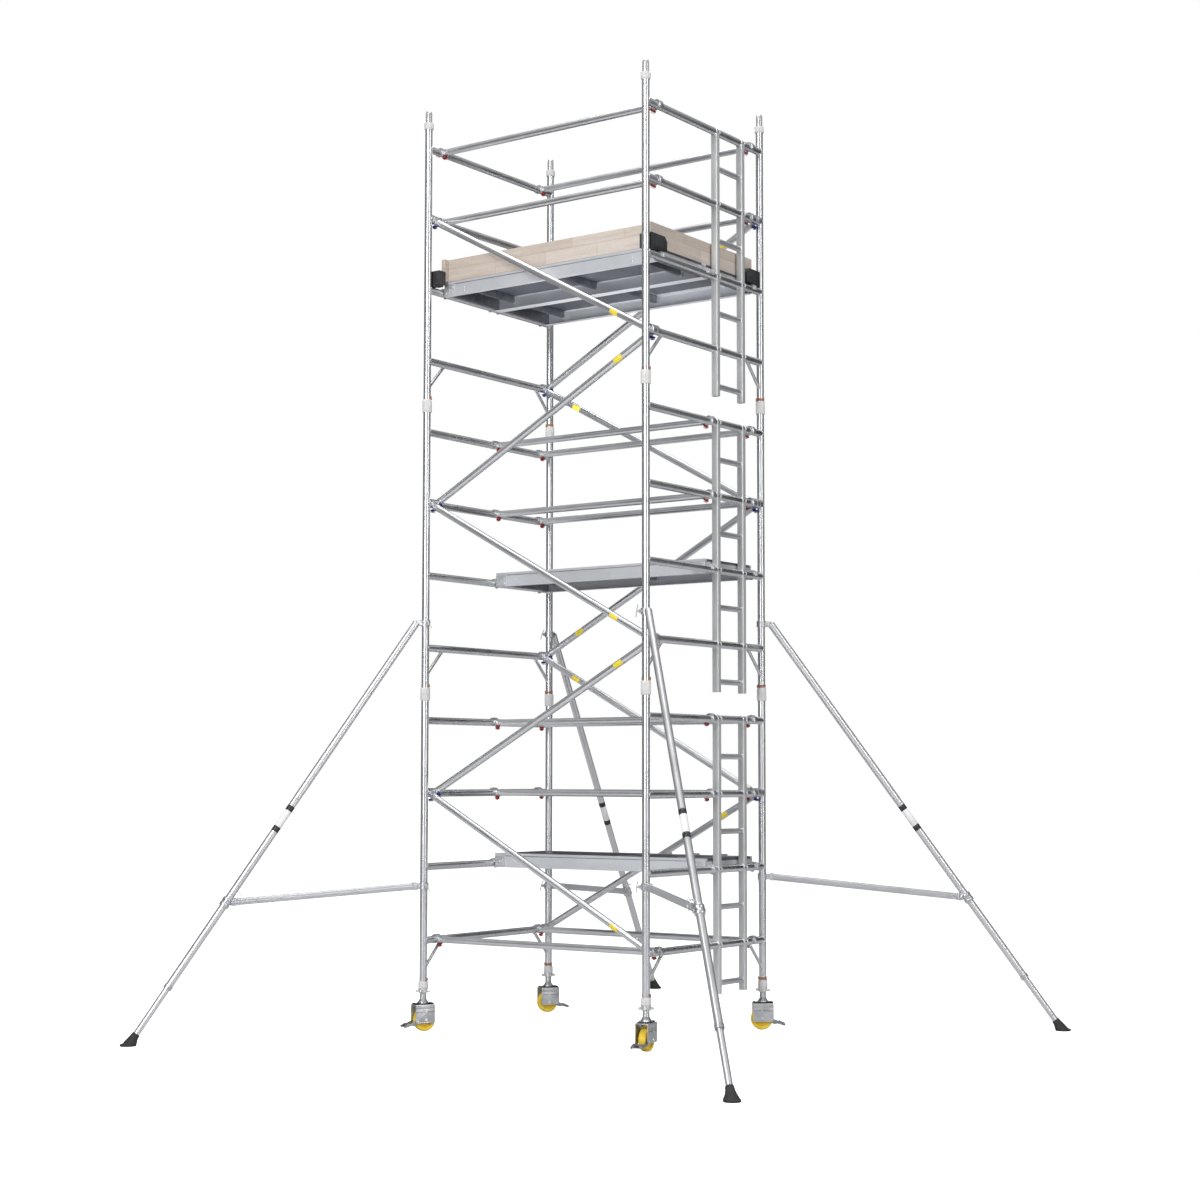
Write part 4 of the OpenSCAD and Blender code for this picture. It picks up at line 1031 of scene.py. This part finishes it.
# where the outer tube ends, the inner tube starts and the label starts, as shares of the whole length
OUTER_PART, INNER_FROM, LABEL_FROM = 0.87, 0.6, 0.45
# label: black, white, black; start and end of each band
LABEL = ((0, 38, M_LABEL_B), (38, 165, M_LABEL_W), (165, 203, M_LABEL_B))
# foot: distance from the floor point along the tube, radius, and how far the ring is turned to the floor
FOOT_RINGS = ((-92, 23.5, 0.0), (-90, 25, 0.0), (-66, 28, 0.08), (-48, 33, 0.3), (-30, 41, 0.7),
              (-20, 46, 0.95))
FOOT_SOLE = ((48, 13), (50, 8), (50, 3), (47.5, 0), (0.5, 0))
FOOT_SEG = 36


def half_coupler(kit, at, side):
    """A small coupler round the post: two rounded jaws, a neck to the tube, an eye bolt and a wire lever."""
    kit.part(JAW, M_CAST, at)
    kit.part(box((28, -15, -19), (58, 15, 19), 4.0, 3), M_CAST, at)
    y0, y1 = sorted((side * 20, side * 44))
    kit.part(box((-10, y0, -11), (10, y1, 11), 3.0), M_CAST, at)
    out = at @ shift(0, side * 44, 0) @ rot(-90 * side, "X")
    kit.parts(bolt(8.5, 12), M_BOLT, out)
    kit.part(rod(17, 4.6), M_BOLT, out)
    lever = []
    for i in range(13):
        t = i / 12
        lever.append((26 * (t * 2 - 1), side * (58 + 3 * math.sin(math.pi * t)), 37 * (t * 2 - 1)))
    kit.part(sweep_loop(lever, 3.2, 10, closed=False), M_BOLT, at)


def ribbed_tube(length, r, ribs=30, depth=1.1):
    """A tube with ribs along its outside."""
    def radius(a, rr, z):
        return rr - (depth if rr > r - 1 and math.cos(a * ribs) < 0 else 0.0)
    return lathe([(r - 3, 0), (r, 0), (r, length), (r - 3, length), (r - 3, 0)], ribs * 4, radius)


def rubber_foot(top, foot):
    """Rings that turn from square-on to the tube at the neck to flat on the floor at the sole."""
    d = (foot - top).normalized()
    across = Vector((d.z, 0, -d.x)) * -1
    verts = []
    for t, r, f in FOOT_RINGS:
        u = across.lerp(Vector((1, 0, 0)), f).normalized()
        for a in angles(FOOT_SEG):
            verts.append(tuple(foot + d * t + u * (r * math.cos(a)) + Vector((0, 1, 0)) * (r * math.sin(a))))
    for r, z in FOOT_SOLE:
        verts += [(foot.x + r * math.cos(a) * 1.06, r * math.sin(a), z) for a in angles(FOOT_SEG)]
    faces = [f[::-1] for f in grid_faces(len(FOOT_RINGS) + len(FOOT_SOLE), FOOT_SEG, True)]
    return verts, faces, [[(0, 0), (0, 1), (1, 1), (1, 0)]] * len(faces)


for name, (head, reach, low, out, side) in STABILISERS.items():
    sx, sy = CORNERS[name][:2]
    base = place(sx * PX, sy * PY, 0, head)
    top, foot = Vector((TUBE_TOP_X, 0, CLAMP_UP)), Vector((reach, 0, 0))
    total = (foot - top).length
    # the tube's own frame: Z runs down the tube, and Y stays level
    tube = base @ (Matrix.Translation(top) @ Matrix.Rotation(math.atan2(reach - TUBE_TOP_X, -CLAMP_UP), 4, "Y"))
    s_arm = total * (1 - out / CLAMP_UP)
    u_arm = TUBE_TOP_X + (reach - TUBE_TOP_X) * (1 - out / CLAMP_UP)
    kit = Kit()
    for z in (CLAMP_UP, low):
        half_coupler(kit, base @ shift(0, 0, z), side)
    kit.part(pipe(total * OUTER_PART, STAB_R, 3.9, 40), M_STAB, tube)
    kit.part(KNUCKLE, M_CAST, base @ shift(KNUCKLE_X, 0, CLAMP_UP))
    kit.part(TUBE_CLAMP, M_CAST, tube @ shift(0, 0, s_arm))
    for s in (-1, 1):
        kit.parts(bolt(8, 7), M_BOLT, tube @ shift(0, s * 31, s_arm) @ rot(-90 * s, "X"))
    m, length = along((ARM_X, 0, low), (u_arm, 0, out))
    arm = base @ m
    kit.part(ribbed_tube(length - 31, 23), M_ARM, arm)
    for u in (10, length - 56):
        kit.part(block(50, 50, 28, 6.0, 3), M_CAST, arm @ shift(0, 0, u))
    kit.part(END_BAND, M_CAST, tube @ shift(0, 0, total * OUTER_PART - 4))
    # lock pin with its wire ring
    pin = tube @ shift(0, -STAB_R, s_arm - 70) @ rot(90, "X")
    kit.part(rod(22, 5), M_BOLT, pin)
    wire = [(45 + 38 * math.cos(a), 38 * math.sin(a), 18.0) for a in angles(40)]
    kit.part(sweep_loop(wire, 1.8, 8), M_BOLT, pin)
    for a, b, mat in LABEL:
        r0, r1 = STAB_R + 0.3, STAB_R + 0.45
        band = lathe([(r0, a), (r1, a + 0.2), (r1, b - 0.2), (r0, b)], 40)
        kit.part(band, mat, tube @ shift(0, 0, total * LABEL_FROM))
    kit.build("Stabiliser_" + name, "stabiliser_" + name, ["stabiliser_" + name], "stabiliser_tube")

    kit = Kit()
    start = total * INNER_FROM
    kit.part(pipe(total - 78 - start, INNER_R, 3.0, 36), M_STAB, tube @ shift(0, 0, start))
    kit.part(rubber_foot(top, foot), M_RUBBER, base)
    kit.build("FootLeg_" + name, "foot_leg_" + name, ["foot_leg_" + name], "stabiliser_tube")


# ---------- CAD nodes that stay as they are ----------

for node, mat in (("wind_locks", M_ZINC), ("hinge_pins", M_BOLT)):
    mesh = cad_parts[node].data
    mesh.materials.clear()
    mesh.materials.append(mat)


# ---------- studio ----------

FLOOR_SEEN = 0.95                      # glow of the floor, for the camera only
FLOOR_DARK, FLOOR_LIGHT = (0.60, 0.60, 0.61), (0.66, 0.66, 0.67)
WORLD_LIGHT, WORLD_SEEN = 0.42, 1.0    # strength of the white surroundings as light, and for the camera
VIEW_AZ, VIEW_PITCH = 35.17, 93.93     # heading of the camera, and its tilt from straight down, in degrees
CAMERA_AT = (8.511, -11.602, 1.737)
LENS, LENS_SHIFT = 62.6, (-0.028, 0.0263)
# dark cards that draw the dark edges of bright tubes: (azimuth from the camera's side of the tower, width)
FLAGS = ((-62, 5.0), (62, 5.0), (-118, 6.0), (118, 6.0), (180, 3.0))
FLAG_AWAY, FLAG_H, FLAG_Z = 11.0, 12.0, 4.0
# name, place, aim, size, power
LIGHTS = (("Bounce", (0.0, 0.0, 4.2), (0, 0, 5.0), (1.3, 1.0), 18.0),
          ("Key", (1.5, -13.0, 7.0), (0, 0, 3.0), (4.0, 11.0), 1100.0),
          ("Fill", (13.0, -2.0, 6.0), (0, 0, 3.0), (2.5, 11.0), 500.0),
          ("Top", (0.0, 0.0, 13.0), (0, 0, 0), (7.0, 7.0), 600.0))


def stage_plane(name, size, location, rotation, mat):
    """A flat studio card that belongs to the stage, not to the object."""
    mesh = bpy.data.meshes.new(name)
    sx, sy = size[0] / 2, size[1] / 2
    mesh.from_pydata([(-sx, -sy, 0), (sx, -sy, 0), (sx, sy, 0), (-sx, sy, 0)], [], [(0, 1, 2, 3)])
    mesh.materials.append(mat)
    obj = bpy.data.objects.new(name, mesh)
    obj.location = location
    obj.rotation_euler = rotation
    bpy.context.scene.collection.objects.link(obj)
    return obj


def floor_material():
    """Pale floor that the camera sees as white paper, while it lights the tower like a light grey floor."""
    n = Nodes("Floor")
    tone = n.noise(n.mapped(), 0.6, 2.0)
    n.set("Base Color", n.ramp(tone, ((0.3, FLOOR_DARK), (0.7, FLOOR_LIGHT))))
    n.set("Roughness", 0.9)
    n.set("Specular IOR Level", 0.0)
    n.set("Emission Color", (1.0, 1.0, 1.0))
    path = n.new("ShaderNodeLightPath")
    n.set("Emission Strength", n.span(path.outputs["Is Camera Ray"], 0.0, FLOOR_SEEN))
    return n.mat


def flag_material():
    n = Nodes("Flag")
    n.set("Base Color", (0.02, 0.02, 0.022))
    n.set("Roughness", 1.0)
    n.set("Specular IOR Level", 0.0)
    return n.mat


stage_plane("Floor", (260, 260), (0, 0, -0.0005), (0, 0, 0), floor_material())
FLAG = flag_material()
for i, (az, width) in enumerate(FLAGS):
    a = math.radians(VIEW_AZ + az)
    at = (FLAG_AWAY * math.sin(a), -FLAG_AWAY * math.cos(a), FLAG_Z)
    flag = stage_plane("Flag%d" % i, (width, FLAG_H), at, (math.radians(90), 0, a), FLAG)
    flag.visible_camera = False
    flag.visible_shadow = False
    flag.visible_diffuse = False

world = bpy.data.worlds.new("Studio")
bpy.context.scene.world = world
world.use_nodes = True
tree = world.node_tree
background = tree.nodes["Background"]
background.inputs["Color"].default_value = (1.0, 1.0, 1.0, 1)
path = tree.nodes.new("ShaderNodeLightPath")
strength = tree.nodes.new("ShaderNodeMapRange")
strength.inputs["To Min"].default_value = WORLD_LIGHT
strength.inputs["To Max"].default_value = WORLD_SEEN
tree.links.new(path.outputs["Is Camera Ray"], strength.inputs["Value"])
tree.links.new(strength.outputs["Result"], background.inputs["Strength"])


for name, location, aim, size, power in LIGHTS:
    data = bpy.data.lights.new(name, "AREA")
    data.shape = "RECTANGLE"
    data.size, data.size_y = size
    data.energy = power
    light = bpy.data.objects.new(name, data)
    light.location = location
    light.rotation_euler = (Vector(aim) - Vector(location)).to_track_quat("-Z", "Y").to_euler()
    bpy.context.scene.collection.objects.link(light)
    if name == "Bounce":
        # lights the underside of the platform only, and is not seen in any reflection
        light.visible_camera = False
        light.visible_glossy = False

camera = bpy.data.cameras.new("Camera")
camera.sensor_width = 36.0
camera.lens = LENS
camera.shift_x, camera.shift_y = LENS_SHIFT
camera.clip_end = 500.0
camera_obj = bpy.data.objects.new("Camera", camera)
camera_obj.location = CAMERA_AT
camera_obj.rotation_euler = (math.radians(VIEW_PITCH), 0.0, math.radians(VIEW_AZ))
bpy.context.scene.collection.objects.link(camera_obj)
bpy.context.scene.camera = camera_obj
bpy.context.scene.view_settings.view_transform = "Standard"
